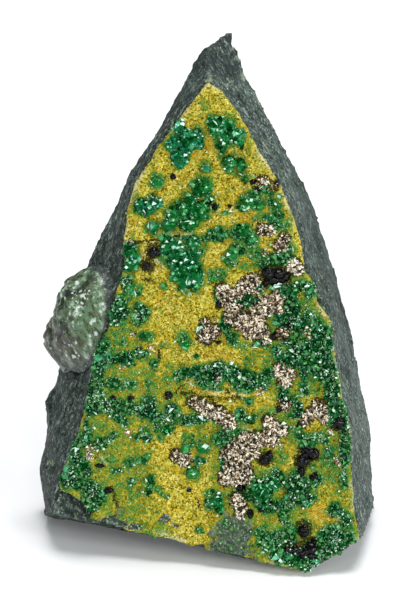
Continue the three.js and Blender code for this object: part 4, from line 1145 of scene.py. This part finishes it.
clusterSlabs = {  # x, z, length, width, angle from level, and tone: above 0.95 it is white, a painted highlight
    "green_crown_left": (
        (-2.25, 37.1, 0.8, 0.4, 60, 0.9), (-1.8, 37.5, 0.35, 0.25, 20, 0.96),
        (-1.75, 36.6, 0.6, 0.13, 25, 1.2), (-0.75, 36.25, 0.25, 0.18, 0, 1.2),
        (-0.1, 36.2, 0.2, 0.15, 0, 1.2), (-0.2, 35.35, 0.25, 0.15, 40, 1.2),
        (0.25, 34.9, 0.2, 0.15, 0, 1.1), (-2.15, 35.7, 0.2, 0.15, 0, 1.2),
        (-0.9, 35.5, 0.45, 0.35, 20, 0.9), (-1.6, 34.6, 0.5, 0.35, 30, 1.3),
        (-1.25, 34.8, 0.25, 0.18, 0, 1.1), (-2.0, 35.95, 0.35, 0.3, 0, 0.0),
        (-1.3, 36.2, 0.5, 0.4, 15, 0.8), (-2.9, 35.5, 0.4, 0.3, 0, 0.76), (-2.6, 34.5, 0.4, 0.3, 70, 0.8)),
    "green_crown_right": (
        (1.0, 37.35, 0.75, 0.13, -48, 1.2), (1.6, 37.5, 0.9, 0.12, -65, 1.2),
        (1.1, 37.8, 0.35, 0.28, 0, 0.9), (1.55, 37.1, 0.3, 0.25, 0, 0.9),
        (3.15, 36.8, 0.22, 0.16, 0, 1.2), (2.4, 35.9, 0.25, 0.18, 0, 1.2),
        (1.7, 35.65, 0.36, 0.3, 20, 1.3), (1.5, 35.9, 0.25, 0.2, 0, 1.1),
        (2.1, 36.3, 0.35, 0.25, 30, 0.88), (2.85, 34.95, 0.2, 0.2, 0, 0.9),
        (3.5, 34.9, 0.2, 0.15, 0, 0.97), (1.5, 34.75, 0.25, 0.2, 0, 0.88)),
    "green_shoulder": (
        (2.45, 34.3, 0.25, 0.18, 20, 1.2), (2.2, 34.2, 0.2, 0.15, 0, 1.2), (1.8, 33.5, 0.24, 0.2, 0, 1.2),
        (3.2, 33.1, 0.45, 0.12, -30, 1.0), (3.4, 33.9, 0.35, 0.28, 0, 0.86)),
    "green_upper_knob": (
        (-0.9, 32.0, 0.44, 0.36, 20, 1.3), (0.2, 31.9, 0.35, 0.3, 0, 0.84),
        (-0.3, 32.3, 0.4, 0.3, 0, 0.78)),
    "green_upper_mass": (
        (-1.2, 30.6, 0.7, 0.6, 80, 0.0), (0.3, 30.6, 0.6, 0.35, 0, 0.0), (-0.45, 31.0, 0.2, 0.15, 0, 1.2),
        (-0.7, 30.95, 0.2, 0.12, 0, 1.1), (-3.0, 29.6, 0.2, 0.2, 0, 1.0),
        (-2.2, 30.5, 0.45, 0.12, -40, 1.1), (-1.35, 29.05, 0.9, 0.12, 5, 1.1),
        (-1.9, 29.0, 0.3, 0.2, 0, 0.92), (-0.9, 28.95, 0.25, 0.2, 0, 1.2),
        (-0.2, 30.0, 0.4, 0.35, 0, 0.8), (-1.6, 29.9, 0.5, 0.35, 40, 0.8),
        (-3.1, 28.8, 0.5, 0.4, 0, 0.78)),
    "green_left_pair": (
        (-5.85, 30.6, 0.35, 0.13, 90, 1.2), (-5.75, 30.45, 0.3, 0.12, 0, 1.1),
        (-5.2, 29.9, 0.7, 0.12, -50, 1.2), (-4.3, 30.5, 0.5, 0.4, 20, 0.9),
        (-4.7, 30.2, 0.4, 0.35, 0, 0.86), (-3.95, 30.3, 0.3, 0.25, 0, 0.92),
        (-5.4, 30.1, 0.35, 0.3, 0, 0.1)),
    "green_single_shelf": ((-4.8, 28.65, 0.6, 0.12, 90, 1.05), (-4.3, 28.7, 0.3, 0.3, 0, 0.8)),
    "green_middle_mass": (
        (-2.1, 27.3, 0.4, 0.3, 20, 1.2), (-1.85, 26.9, 0.35, 0.2, 0, 1.1),
        (-3.2, 27.3, 0.35, 0.25, 0, 1.1), (-2.55, 25.7, 0.35, 0.25, -20, 1.2),
        (-1.95, 25.6, 0.3, 0.2, 0, 1.1), (-1.55, 25.85, 0.45, 0.3, 20, 1.2),
        (-1.0, 25.65, 0.3, 0.25, 0, 1.2), (-1.2, 25.2, 0.7, 0.4, 70, 0.88),
        (-1.25, 24.6, 0.6, 0.14, 70, 0.95), (-1.5, 24.0, 0.6, 0.12, 85, 1.2),
        (-0.85, 24.1, 0.4, 0.3, 20, 1.2), (-0.6, 23.7, 0.45, 0.4, 0, 0.92),
        (-2.3, 26.5, 0.45, 0.35, 0, 0.05), (-2.7, 27.5, 0.4, 0.3, 0, 0.94),
        (-2.6, 26.9, 0.45, 0.3, 0, 0.92), (-1.2, 23.05, 0.35, 0.3, 0, 1.0),
        (-3.5, 26.9, 0.4, 0.3, 30, 0.9), (-1.9, 26.6, 0.3, 0.2, 0, 0.9)),
    "green_right_trio": (
        (4.1, 31.0, 0.36, 0.3, 30, 1.3), (3.4, 30.45, 0.45, 0.13, -30, 1.2), (3.5, 32.0, 0.2, 0.16, 0, 1.1),
        (4.35, 33.0, 0.3, 0.25, 0, 0.9), (3.7, 30.9, 0.35, 0.3, 0, 0.82)),
    "green_single_wedge": ((2.1, 26.35, 0.4, 0.36, 20, 1.3), (2.7, 26.6, 0.3, 0.3, 0, 0.78)),
    "green_right_pair": (
        (3.4, 28.6, 0.35, 0.3, 0, 0.82), (4.2, 28.0, 0.25, 0.18, 0, 1.1), (3.1, 28.1, 0.25, 0.15, 0, 1.0)),
    "green_left_rim": (
        (-5.95, 26.0, 0.4, 0.4, 0, 0.6), (-6.7, 25.0, 0.35, 0.3, 0, 1.0), (-6.0, 25.5, 0.5, 0.35, 20, 0.98),
        (-6.6, 25.6, 0.35, 0.4, 0, 0.86), (-6.6, 26.5, 0.4, 0.4, 0, 0.1)),
    "green_single_rim": (
        (-6.5, 23.3, 0.25, 0.2, 0, 0.9), (-5.95, 22.85, 0.8, 0.13, -75, 1.2),
        (-5.6, 23.1, 0.3, 0.3, 0, 0.84)),
    "green_single_belly": ((-1.8, 19.0, 0.18, 0.15, 0, 1.1),),
    "green_single_low_b": ((0.15, 10.15, 0.6, 0.5, 10, 0.98),),
    "green_single_low_c": (
        (-1.3, 8.3, 0.3, 0.2, 0, 1.0), (-0.9, 7.8, 0.4, 0.3, 0, 0.9), (-0.9, 7.75, 0.28, 0.2, 0, 0.4)),
    "green_low_group": (
        (5.05, 6.5, 0.9, 0.1, 55, 0.96), (5.9, 7.3, 0.5, 0.35, 0, 0.84), (6.2, 7.0, 0.5, 0.12, -30, 1.1),
        (5.5, 7.6, 0.3, 0.25, 0, 0.92), (4.6, 6.8, 0.5, 0.12, 60, 0.85), (5.2, 5.6, 0.5, 0.4, 0, 0.0)),
    "green_low_rosette": (
        (1.2, 5.9, 0.35, 0.2, 0, 1.1), (0.75, 5.3, 0.22, 0.16, 0, 1.1), (1.5, 5.4, 0.18, 0.12, 0, 1.0),
        (1.2, 4.4, 0.2, 0.3, 0, 0.95)),
}

brightness = {  # added to a cluster's tones
    "tan_rim": 0.3, "tan_oval": -0.16, "tan_brown": -0.1, "tan_round": -0.05, "tan_pebble": -0.06,
}

coolness = {  # 0 is leaf green, 1 is teal
    "green_crown_left": 0.75, "green_crown_right": 0.45, "green_shoulder": 0.3, "green_upper_knob": 0.15,
    "green_upper_mass": 0.3, "green_left_pair": 0.7, "green_middle_mass": 0.5, "green_left_rim": 0.45,
    "green_right_trio": 0.2, "green_right_pair": 0.3, "green_low_group": 0.45, "green_low_rosette": 0.4,
    "green_single_low_a": 0.3, "green_single_tip": 0.9, "green_single_shelf": 0.5,
    "green_single_left": 0.05,
}

# Each density is crystals to a square mm; each size is least, most and usual, in mm

growth = {
    "green": {
        "shape": "block", "slot": "green_crystal", "finish": "emerald", "density": 7, "least": 5,
        "size": (0.2, 0.55, 0.34), "bigSize": (0.55, 0.85, 0.65), "bigShare": 0.15,
        "stretch": (0.8, 1.2), "spread": 0.8, "bury": 0.36, "coreSink": 0.0,
        "coreTone": (0.36, 0.66, 0.8), "tone": (0.05, 0.86), "voxel": 0.11, "lobes": (1.3, 0.16),
        "plates": (0.5, 0.2), "glint": 0.02, "glintSize": (0.08, 0.3, 0.13), "cone": 0.997,
        "contrast": 0.22, "paintedTopLight": 0.12,
    },
    "single": {
        "shape": "block", "slot": "green_crystal", "finish": "emerald", "density": 2, "least": 1,
        "size": (0.14, 0.3, 0.2), "stretch": (0.8, 1.2), "spread": 0.8, "bury": 0.45, "coreSink": 0.0,
        "coreTone": (0.6, 0.76, 0.6), "tone": (0.4, 0.8), "voxel": 0.09, "lobes": (0.8, 0.06),
        "plates": (0.5, 0.04), "glint": 0.1, "glintSize": (0.08, 0.16, 0.11),
    },
    "tan": {
        "shape": "chip", "slot": "tan_crystal", "finish": "tan", "density": 38, "least": 5,
        "size": (0.2, 0.5, 0.32), "stretch": (0.8, 1.3), "spread": 1.8, "bury": 0.1, "coreSink": 0.4,
        # the tan core is painted near black: painted shade in the gaps between the chips
        "coreTone": (0.0, 0.06, 0.5), "tone": (0.0, 0.95), "contrast": 0.3, "paintedTopLight": 0.2, "glint": 0.13,
        "glintShape": "chip", "glintSize": (0.2, 0.4, 0.28),
    },
    "black": {
        "shape": "bead", "slot": "black_crystal", "finish": "black", "density": 1.5, "least": 1,
        "size": (0.3, 0.6, 0.4), "stretch": (0.8, 1.1), "spread": 1.0, "bury": 0.35, "voxel": 0.12,
        "lobes": (0.9, 0.3), "plates": (0.4, 0.03), "coreSink": 0.1, "coreTone": (0.0, 0.1, 0.5),
        "tone": (0, 0.8), "glint": 0.03, "glintSize": (0.1, 0.2, 0.14),
    },
}

for index, nodeName in enumerate(sorted(nodes)):
    kind = nodeName.split("_")[0]
    if kind in growth:
        growOn(nodeName, growth["single" if "single" in nodeName else kind], seeds["clusters"] + index)
print("clusters are grown")

# The small crystals of the crust: green carpets and dust, ochre grains, and odd ones at their own places

strewn = {
    "green": {
        "shape": "block", "density": 54, "size": (0.12, 0.42, 0.22), "bigSize": (0.35, 0.7, 0.5),
        "bigShare": 0.1, "stretch": (0.7, 1.3), "spread": 1.1, "bury": 0.2, "pile": 0.3,
        "tone": (0.05, 0.87), "contrast": 0.25, "paintedTopLight": 0.15, "cone": 0.992, "glint": 0.33,
        "glintSize": (0.07, 0.3, 0.13),
        "coverFade": (0.2, 0.8), "share": 0.9, "stray": 0.02,  # where the cover calls for them
        "grow": (0.65, 0.35),  # scale in thin cover, and how much more in thick
        "shine": (0.3, 1.6, 1.3),  # the sparkles come in patches: least, how much more, and patch size
    },
    "ochre": {
        "shape": "grain", "density": 24, "size": (0.1, 0.2, 0.14), "stretch": (0.6, 1.0), "spread": 0.8,
        "bury": 0.15, "tone": (0, 1), "contrast": 0.2, "glint": 0,
    },
}


def skinSpots(density, chance):  # places all over the crust
    skin = bmesh.new()
    skin.from_mesh(crust.data)
    bmesh.ops.triangulate(skin, faces=skin.faces)
    yield from spotsOn(skin, int(facingArea(skin, skinFacing) * density), chance, skinFacing)
    skin.free()


def strewGreen(settings, seed):
    chance = random.Random(seed)
    carpets = {name: (treeOf(node.data), Druse("cover"))
               for name, node in nodes.items() if name.startswith("carpet")}
    dust = Druse("cover")
    dull, sparkle, patch = settings["shine"]
    small, more = settings["grow"]
    for point, normal, cover in skinSpots(settings["density"], chance):
        here = spread(*settings["coverFade"], cover)
        if chance.random() > here * settings["share"] + settings["stray"]:
            continue
        lift = settings["pile"] * here * chance.random()
        druse = dust
        for tree, own in carpets.values():
            if tree.ray_cast(Vector((point.x, -1, point.z)), straightBack)[0]:
                druse = own
        shine = dull + sparkle * spread(-0.15, 0.4, noise.noise(point / mm / patch))
        raised = point + faceNormal * lift * mm
        sow(druse, chance, settings, raised, normal, small + more * here, cover, shine)
    dust.done("green_dust", "green_crystal", "meadow")
    for name, (tree, druse) in carpets.items():
        druse.done(name + "_crystals", "green_crystal", "meadow", [name])


def strewOchre(settings, seed):
    chance = random.Random(seed)
    grains = Druse("cover")
    for point, normal, cover in skinSpots(settings["density"], chance):
        x, z = flatPlace(point)
        if chance.random() > cover and bareness(x, z, crustSettings["bare"]) < 0.3 * chance.random() + 0.1:
            sow(grains, chance, settings, point, normal, 1, cover)
    grains.done("ochre_grains", "ochre", "ochreGrain")


strewGreen(strewn["green"], seeds["green"])
strewOchre(strewn["ochre"], seeds["ochre"])
print("small crystals are strewn")

oddTan = {
    "count": 44,  # grains for each mm of reach
    "pile": 0.5, "scale": 0.8,
    "places": (  # x, z and reach
        (5.3, 26.7, 0.35), (4.9, 15, 0.42), (-10.2, 9.5, 0.35), (-9.6, 9.7, 0.3), (10.9, 11.6, 0.35),
        (-6.6, 11.2, 0.3), (-7.1, 16.6, 0.22), (-4.7, 18.2, 0.35), (11.6, 9.3, 0.4), (1.3, 16.1, 0.35),
        (-5.2, 10.9, 0.22), (-6.4, 27.4, 0.2), (-10.2, 8.8, 0.3), (8.4, 25.3, 0.25), (-9.9, 8.9, 0.25),
        (-6.2, 19.4, 0.25), (6.4, 10.4, 0.4), (4.9, 23.1, 0.7), (4.2, 23.6, 0.5), (5.4, 22.4, 0.6),
        (4.3, 22.1, 0.4),
    ),
}

oddGreen = (  # x, z, length, width, angle, and tone as for the clusters' slabs
    (-4.5, 30.4, 0.6, 0.42, 20, 0.97), (-4.1, 30.9, 0.35, 0.3, 0, 1.05), (-5.0, 30.6, 0.4, 0.18, 40, 1.1),
    (-2.5, 26.6, 0.7, 0.5, 10, 0.9), (-3.2, 26.9, 0.5, 0.3, -20, 0.98), (8.9, 23.9, 0.5, 0.3, 10, 1.0),
    (10.0, 17.6, 0.3, 0.2, 0, 1.2), (10.6, 16.9, 0.45, 0.14, -30, 1.15), (9.6, 16.3, 0.3, 0.2, 10, 1.1),
    (9.2, 21.6, 0.3, 0.25, 0, 1.1), (10.0, 20.3, 0.4, 0.16, -40, 1.15), (11.0, 14.9, 0.3, 0.2, 0, 1.1),
    (6.2, 23.75, 1.0, 0.4, 15, 0.92), (5.8, 23.6, 0.5, 0.42, 0, 0.88), (6.5, 23.98, 0.6, 0.22, 15, 1.1),
    (-0.2, 12.55, 0.62, 0.46, -40, 1.1), (4.6, 18.85, 0.8, 0.5, 10, 0.84),
    (4.45, 18.6, 0.7, 0.13, 5, 1.2), (6.9, 12.3, 0.6, 0.35, 10, 0.92), (6.2, 1.4, 0.9, 0.6, 0, 0.88),
    (6.6, 1.2, 0.4, 0.3, 0, 0.98), (-0.4, 20.1, 1.0, 0.4, 50, 0.86), (2.4, 17.25, 0.5, 0.32, 30, 1.1),
    (1.0, 17.0, 0.4, 0.3, 0, 0.97), (-2.85, 13.1, 0.7, 0.3, 45, 0.92), (-3.1, 12.3, 0.5, 0.16, -40, 1.2),
    (-9.45, 12.7, 0.55, 0.13, -40, 1.1), (-9.3, 13.3, 0.5, 0.13, 20, 1.0),
    (-8.2, 12.5, 0.25, 0.22, 0, 1.2), (-4.95, 10.4, 0.7, 0.16, 50, 0.93),
    (-5.75, 10.4, 0.45, 0.3, 0, 0.9), (-6.4, 10.7, 0.24, 0.2, 0, 1.2), (-3.05, 11.0, 0.35, 0.28, 0, 0.97),
    (-6.5, 17.0, 0.3, 0.26, 0, 1.1), (-5.4, 18.0, 0.6, 0.24, 10, 0.96), (-7.2, 21.5, 0.5, 0.16, 10, 1.05),
    (-7.9, 21.4, 0.2, 0.3, 0, 1.0), (-7.8, 20.5, 0.22, 0.18, 0, 1.1), (-5.3, 21.5, 0.4, 0.35, 0, 0.82),
    (-5.2, 20.8, 0.5, 0.18, 80, 0.86), (-1.1, 15.5, 0.6, 0.11, -45, 1.1), (2.3, 14.1, 0.28, 0.26, 0, 1.2),
    (8.0, 18.9, 0.45, 0.13, -15, 1.2), (7.5, 18.5, 0.35, 0.15, -40, 1.2),
    (6.6, 18.3, 0.35, 0.13, 80, 1.2), (7.7, 18.0, 0.2, 0.16, 0, 1.2), (8.1, 18.0, 0.2, 0.18, 0, 1.1),
    (7.6, 17.5, 0.55, 0.14, -45, 1.05), (7.85, 23.9, 0.18, 0.24, 0, 1.2), (8.5, 24.3, 0.5, 0.32, 0, 0.93),
    (8.0, 24.2, 0.3, 0.22, 0, 0.9), (9.3, 23.7, 0.5, 0.42, 0, 0.78), (5.7, 21.3, 0.35, 0.22, 20, 1.0),
    (6.2, 20.7, 0.6, 0.42, 0, 0.76), (2.35, 30.0, 0.4, 0.28, 0, 1.05), (1.8, 29.8, 0.55, 0.5, 0, 0.7),
    (0.5, 29.1, 0.16, 0.16, 0, 1.1), (1.05, 31.15, 0.14, 0.14, 0, 1.1), (-2.3, 32.6, 0.2, 0.15, 0, 1.0),
    (5.2, 31.8, 0.4, 0.36, 0, 0.76), (6.55, 31.4, 0.55, 0.5, 0, 0.76), (5.75, 27.3, 0.24, 0.22, 0, 0.95),
    (6.2, 26.4, 0.35, 0.11, -60, 1.1), (6.6, 26.4, 0.4, 0.36, 0, 0.76), (5.4, 1.9, 0.5, 0.12, -30, 0.95),
    (6.5, 2.3, 0.18, 0.16, 0, 1.1), (7.5, 2.05, 0.18, 0.16, 0, 1.2), (8.1, 2.15, 0.16, 0.16, 0, 1.2),
    (9.7, 0.5, 0.9, 0.3, 35, 0.88), (9.8, 1.1, 0.6, 0.4, 40, 0.8), (-9.2, 17.4, 0.9, 0.7, 0, 0.72),
    (-10.3, 11.3, 0.4, 0.3, 60, 0.92), (-10.3, 10.6, 0.5, 0.35, 60, 0.92),
    (-11.1, 9.5, 0.6, 0.4, 40, 0.9), (-8.7, 9.6, 0.3, 0.2, 20, 1.1), (-5.0, 7.1, 0.2, 0.5, 20, 1.0),
    (-5.3, 6.1, 0.35, 0.2, -20, 1.1), (-8.9, 5.9, 0.3, 0.35, 0, 0.9), (7.9, 6.1, 0.2, 0.18, 0, 1.2),
    (8.6, 5.3, 0.2, 0.18, 0, 1.2), (9.1, 5.6, 0.55, 0.11, 50, 1.0), (1.3, 6.2, 0.35, 0.25, 20, 1.1),
    (11.7, 6.8, 0.2, 0.16, 0, 1.0), (3.6, 16.6, 0.7, 0.5, 0, 0.3),
)

creamChunks = (  # the same, for pale tan chunks
    (8.85, 20.5, 0.35, 0.25, 20, 0.8), (9.15, 19.7, 0.4, 0.25, -30, 0.75),
    (9.2, 20.3, 0.3, 0.3, 50, 0.65), (8.8, 20.0, 0.3, 0.2, 0, 0.7), (9.1, 20.0, 0.25, 0.25, 10, 0.85),
    (9.3, 20.7, 0.25, 0.2, 70, 0.7), (0.4, 13.6, 0.5, 0.36, 30, 1.2), (6.9, 16.8, 0.36, 0.5, 0, 1.0),
    (1.9, 22.5, 0.5, 0.4, 0, 1.0), (2.6, 11.9, 0.36, 0.4, 40, 1.1), (-9.3, 9.4, 0.3, 0.2, 60, 1.0),
    (-10.2, 9.7, 0.3, 0.22, 0, 1.1), (3.2, 8.5, 0.5, 0.35, 20, 1.2), (4.9, 7.3, 0.6, 0.25, 30, 1.1),
    (5.3, 12.2, 0.4, 0.3, 60, 1.1), (-6.6, 11.2, 0.4, 0.2, 20, 1.1),
)


def strewTan(settings, seed):
    chance = random.Random(seed)
    druse = Druse()
    for x, z, reach in settings["places"]:
        for turn in range(int(settings["count"] * reach)):
            away, angle = reach * math.sqrt(chance.random()), chance.uniform(0, fullTurn)
            lift = settings["pile"] * (reach - away) * chance.random()
            point, normal = onCrust(x + away * math.cos(angle), z + away * math.sin(angle), lift)
            if point:
                sow(druse, chance, growth["tan"], point, normal, settings["scale"])
    setSlabs(druse, chance, creamChunks, 0)
    druse.done("small_tan", "tan_crystal", "tan")


ballSettings = {"voxel": 0.07, "lobes": (0.45, 0.12), "plates": (0.3, 0.1), "coreSink": 0.08}


def setBalls(settings):
    bm = lobed(bodyOf(blackBalls), settings)
    finishPiece(bm, "small_black", "black_crystal", "black")


strewTan(oddTan, seeds["tan"])
setBalls(ballSettings)
oddDruse = Druse()
setSlabs(oddDruse, random.Random(seeds["oddGreen"]), oddGreen, 0.55)
oddDruse.done("small_green", "green_crystal", "emerald")
print("odd crystals are set")

# The quartz lump

quartzSettings = {
    "voxel": 0.22,
    "grains": (1.4, 0.24), "ripple": (0.7, 0.1),  # size and depth in mm
    "pinches": ((-12.6, 23.6, 1.9, 0.6), (-14.1, 14.9, 1.4, 0.5)),  # x, z, reach, and how far inwards
    "along": (0.62, -0.78, 0),  # level, along the flank towards the front
    "frontRim": 0.5, "backRim": 0.85,  # where it starts to sink into the rock: 0 is its middle, 1 its edge
    "frontEnd": 0.88, "backEnd": 0.14,  # where it is sunk at the front, and how much farther at the back
    "film": 0.03, "sink": 0.15,  # height over the rock where it stands, depth under it where it is sunk
}


def shapeQuartz(settings):
    bm = remeshed(copyOf("quartz_lump"), settings["voxel"])
    grainSize, groove = settings["grains"]
    rippleSize, ripple = settings["ripple"]

    def shift(place, normal):
        near = noise.voronoi(place / grainSize)[0]
        edge = min(1, (near[1] - near[0]) * 3)
        x, z = place.x - layoutZero.x, place.z
        inward = sum(move * spread(reach, 0, math.hypot(x - pinchX, z - pinchZ))
                     for pinchX, pinchZ, reach, move in settings["pinches"])
        return normal * (groove * (edge - 0.6) + ripple * lumps(place, rippleSize)) + Vector((inward, 0, 0))

    reshape(bm, shift)
    along = Vector(settings["along"])
    reaches = [v.co.dot(along) for v in bm.verts]
    heights = [v.co.z for v in bm.verts]
    middle, half = (max(reaches) + min(reaches)) / 2, (max(reaches) - min(reaches)) / 2
    level, rise = (max(heights) + min(heights)) / 2, (max(heights) - min(heights)) / 2
    flank = treeOf(rock.data)
    stand = bm.verts.layers.float.new("stand")
    for vertex in bm.verts:
        t, v = (vertex.co.dot(along) - middle) / half, (vertex.co.z - level) / rise
        back = spread(0.1, -0.6, t)
        start = settings["frontRim"] + (settings["backRim"] - settings["frontRim"]) * back
        share = spread(settings["frontEnd"] + settings["backEnd"] * back, start, math.hypot(t, v))
        spot, normal = flank.find_nearest(vertex.co)[:2]
        if (vertex.co - spot).dot(normal) > 0:
            lift = settings["film"] - settings["sink"] * spread(0.15, 0, share)
            vertex.co = spot + (vertex.co - spot) * share + normal * lift * mm
        vertex[stand] = share
    return finishPiece(bm, "quartz_grains", "quartz", "quartz", ["quartz_lump"])


shapeQuartz(quartzSettings)
print("quartz is shaped")

# The foot: its front edge comes forward on the right and is lifted off the floor on the left

footSettings = {
    "forward": ((-2.5, 0.0), (0.0, 0.9), (3.0, 1.6), (7.0, 1.5), (13.0, 1.3)),  # x and how far, in mm
    "lift": ((-15.0, 1.6), (-10.0, 1.4), (-7.0, 0.8), (-3.0, 0.5), (0.0, 0.12), (4.0, 0.1), (9.0, 0.05)),
    "forwardTop": 7.0, "liftTop": 5.0,  # how high the two moves reach
    "depth": (6.0, 0.6),  # how far behind the face they start, and where they are full
    "ragged": (0.7, 1.3),  # share and size in mm of the unevenness of the lift
}


def settleFoot(mesh, settings):
    share, size = settings["ragged"]
    for vertex in mesh.vertices:
        place = vertex.co / mm - layoutZero
        if place.z < settings["forwardTop"]:
            near = spread(*settings["depth"], behindFace(place))
            low = max(0, 1 - place.z / settings["forwardTop"])
            lower = max(0, 1 - place.z / settings["liftTop"])
            ragged = 1 + share * noise.noise(place / size)
            vertex.co.y -= between(place.x, settings["forward"]) * low * low * near * mm
            vertex.co.z += between(place.x, settings["lift"]) * lower * lower * near * ragged * mm


for piece in pieces:
    settleFoot(piece.data, footSettings)
print("foot is settled")

# The floor

floorMesh = bmesh.new()
bmesh.ops.create_grid(floorMesh, x_segments=1, y_segments=1, size=floorSettings["width"] / 2)
floor = makeObject(floorMesh, "floor")
floor.data.materials.append(floorFinish(floorSettings["colour"]))

counts = {o.name: sum(len(p.vertices) - 2 for p in o.data.polygons) for o in bpy.data.objects
          if o.type == "MESH" and o != floor and o.name not in nodes}
print("triangles:", sum(counts.values()), "most in one piece:",
      sorted((c, n) for n, c in counts.items())[-6:])
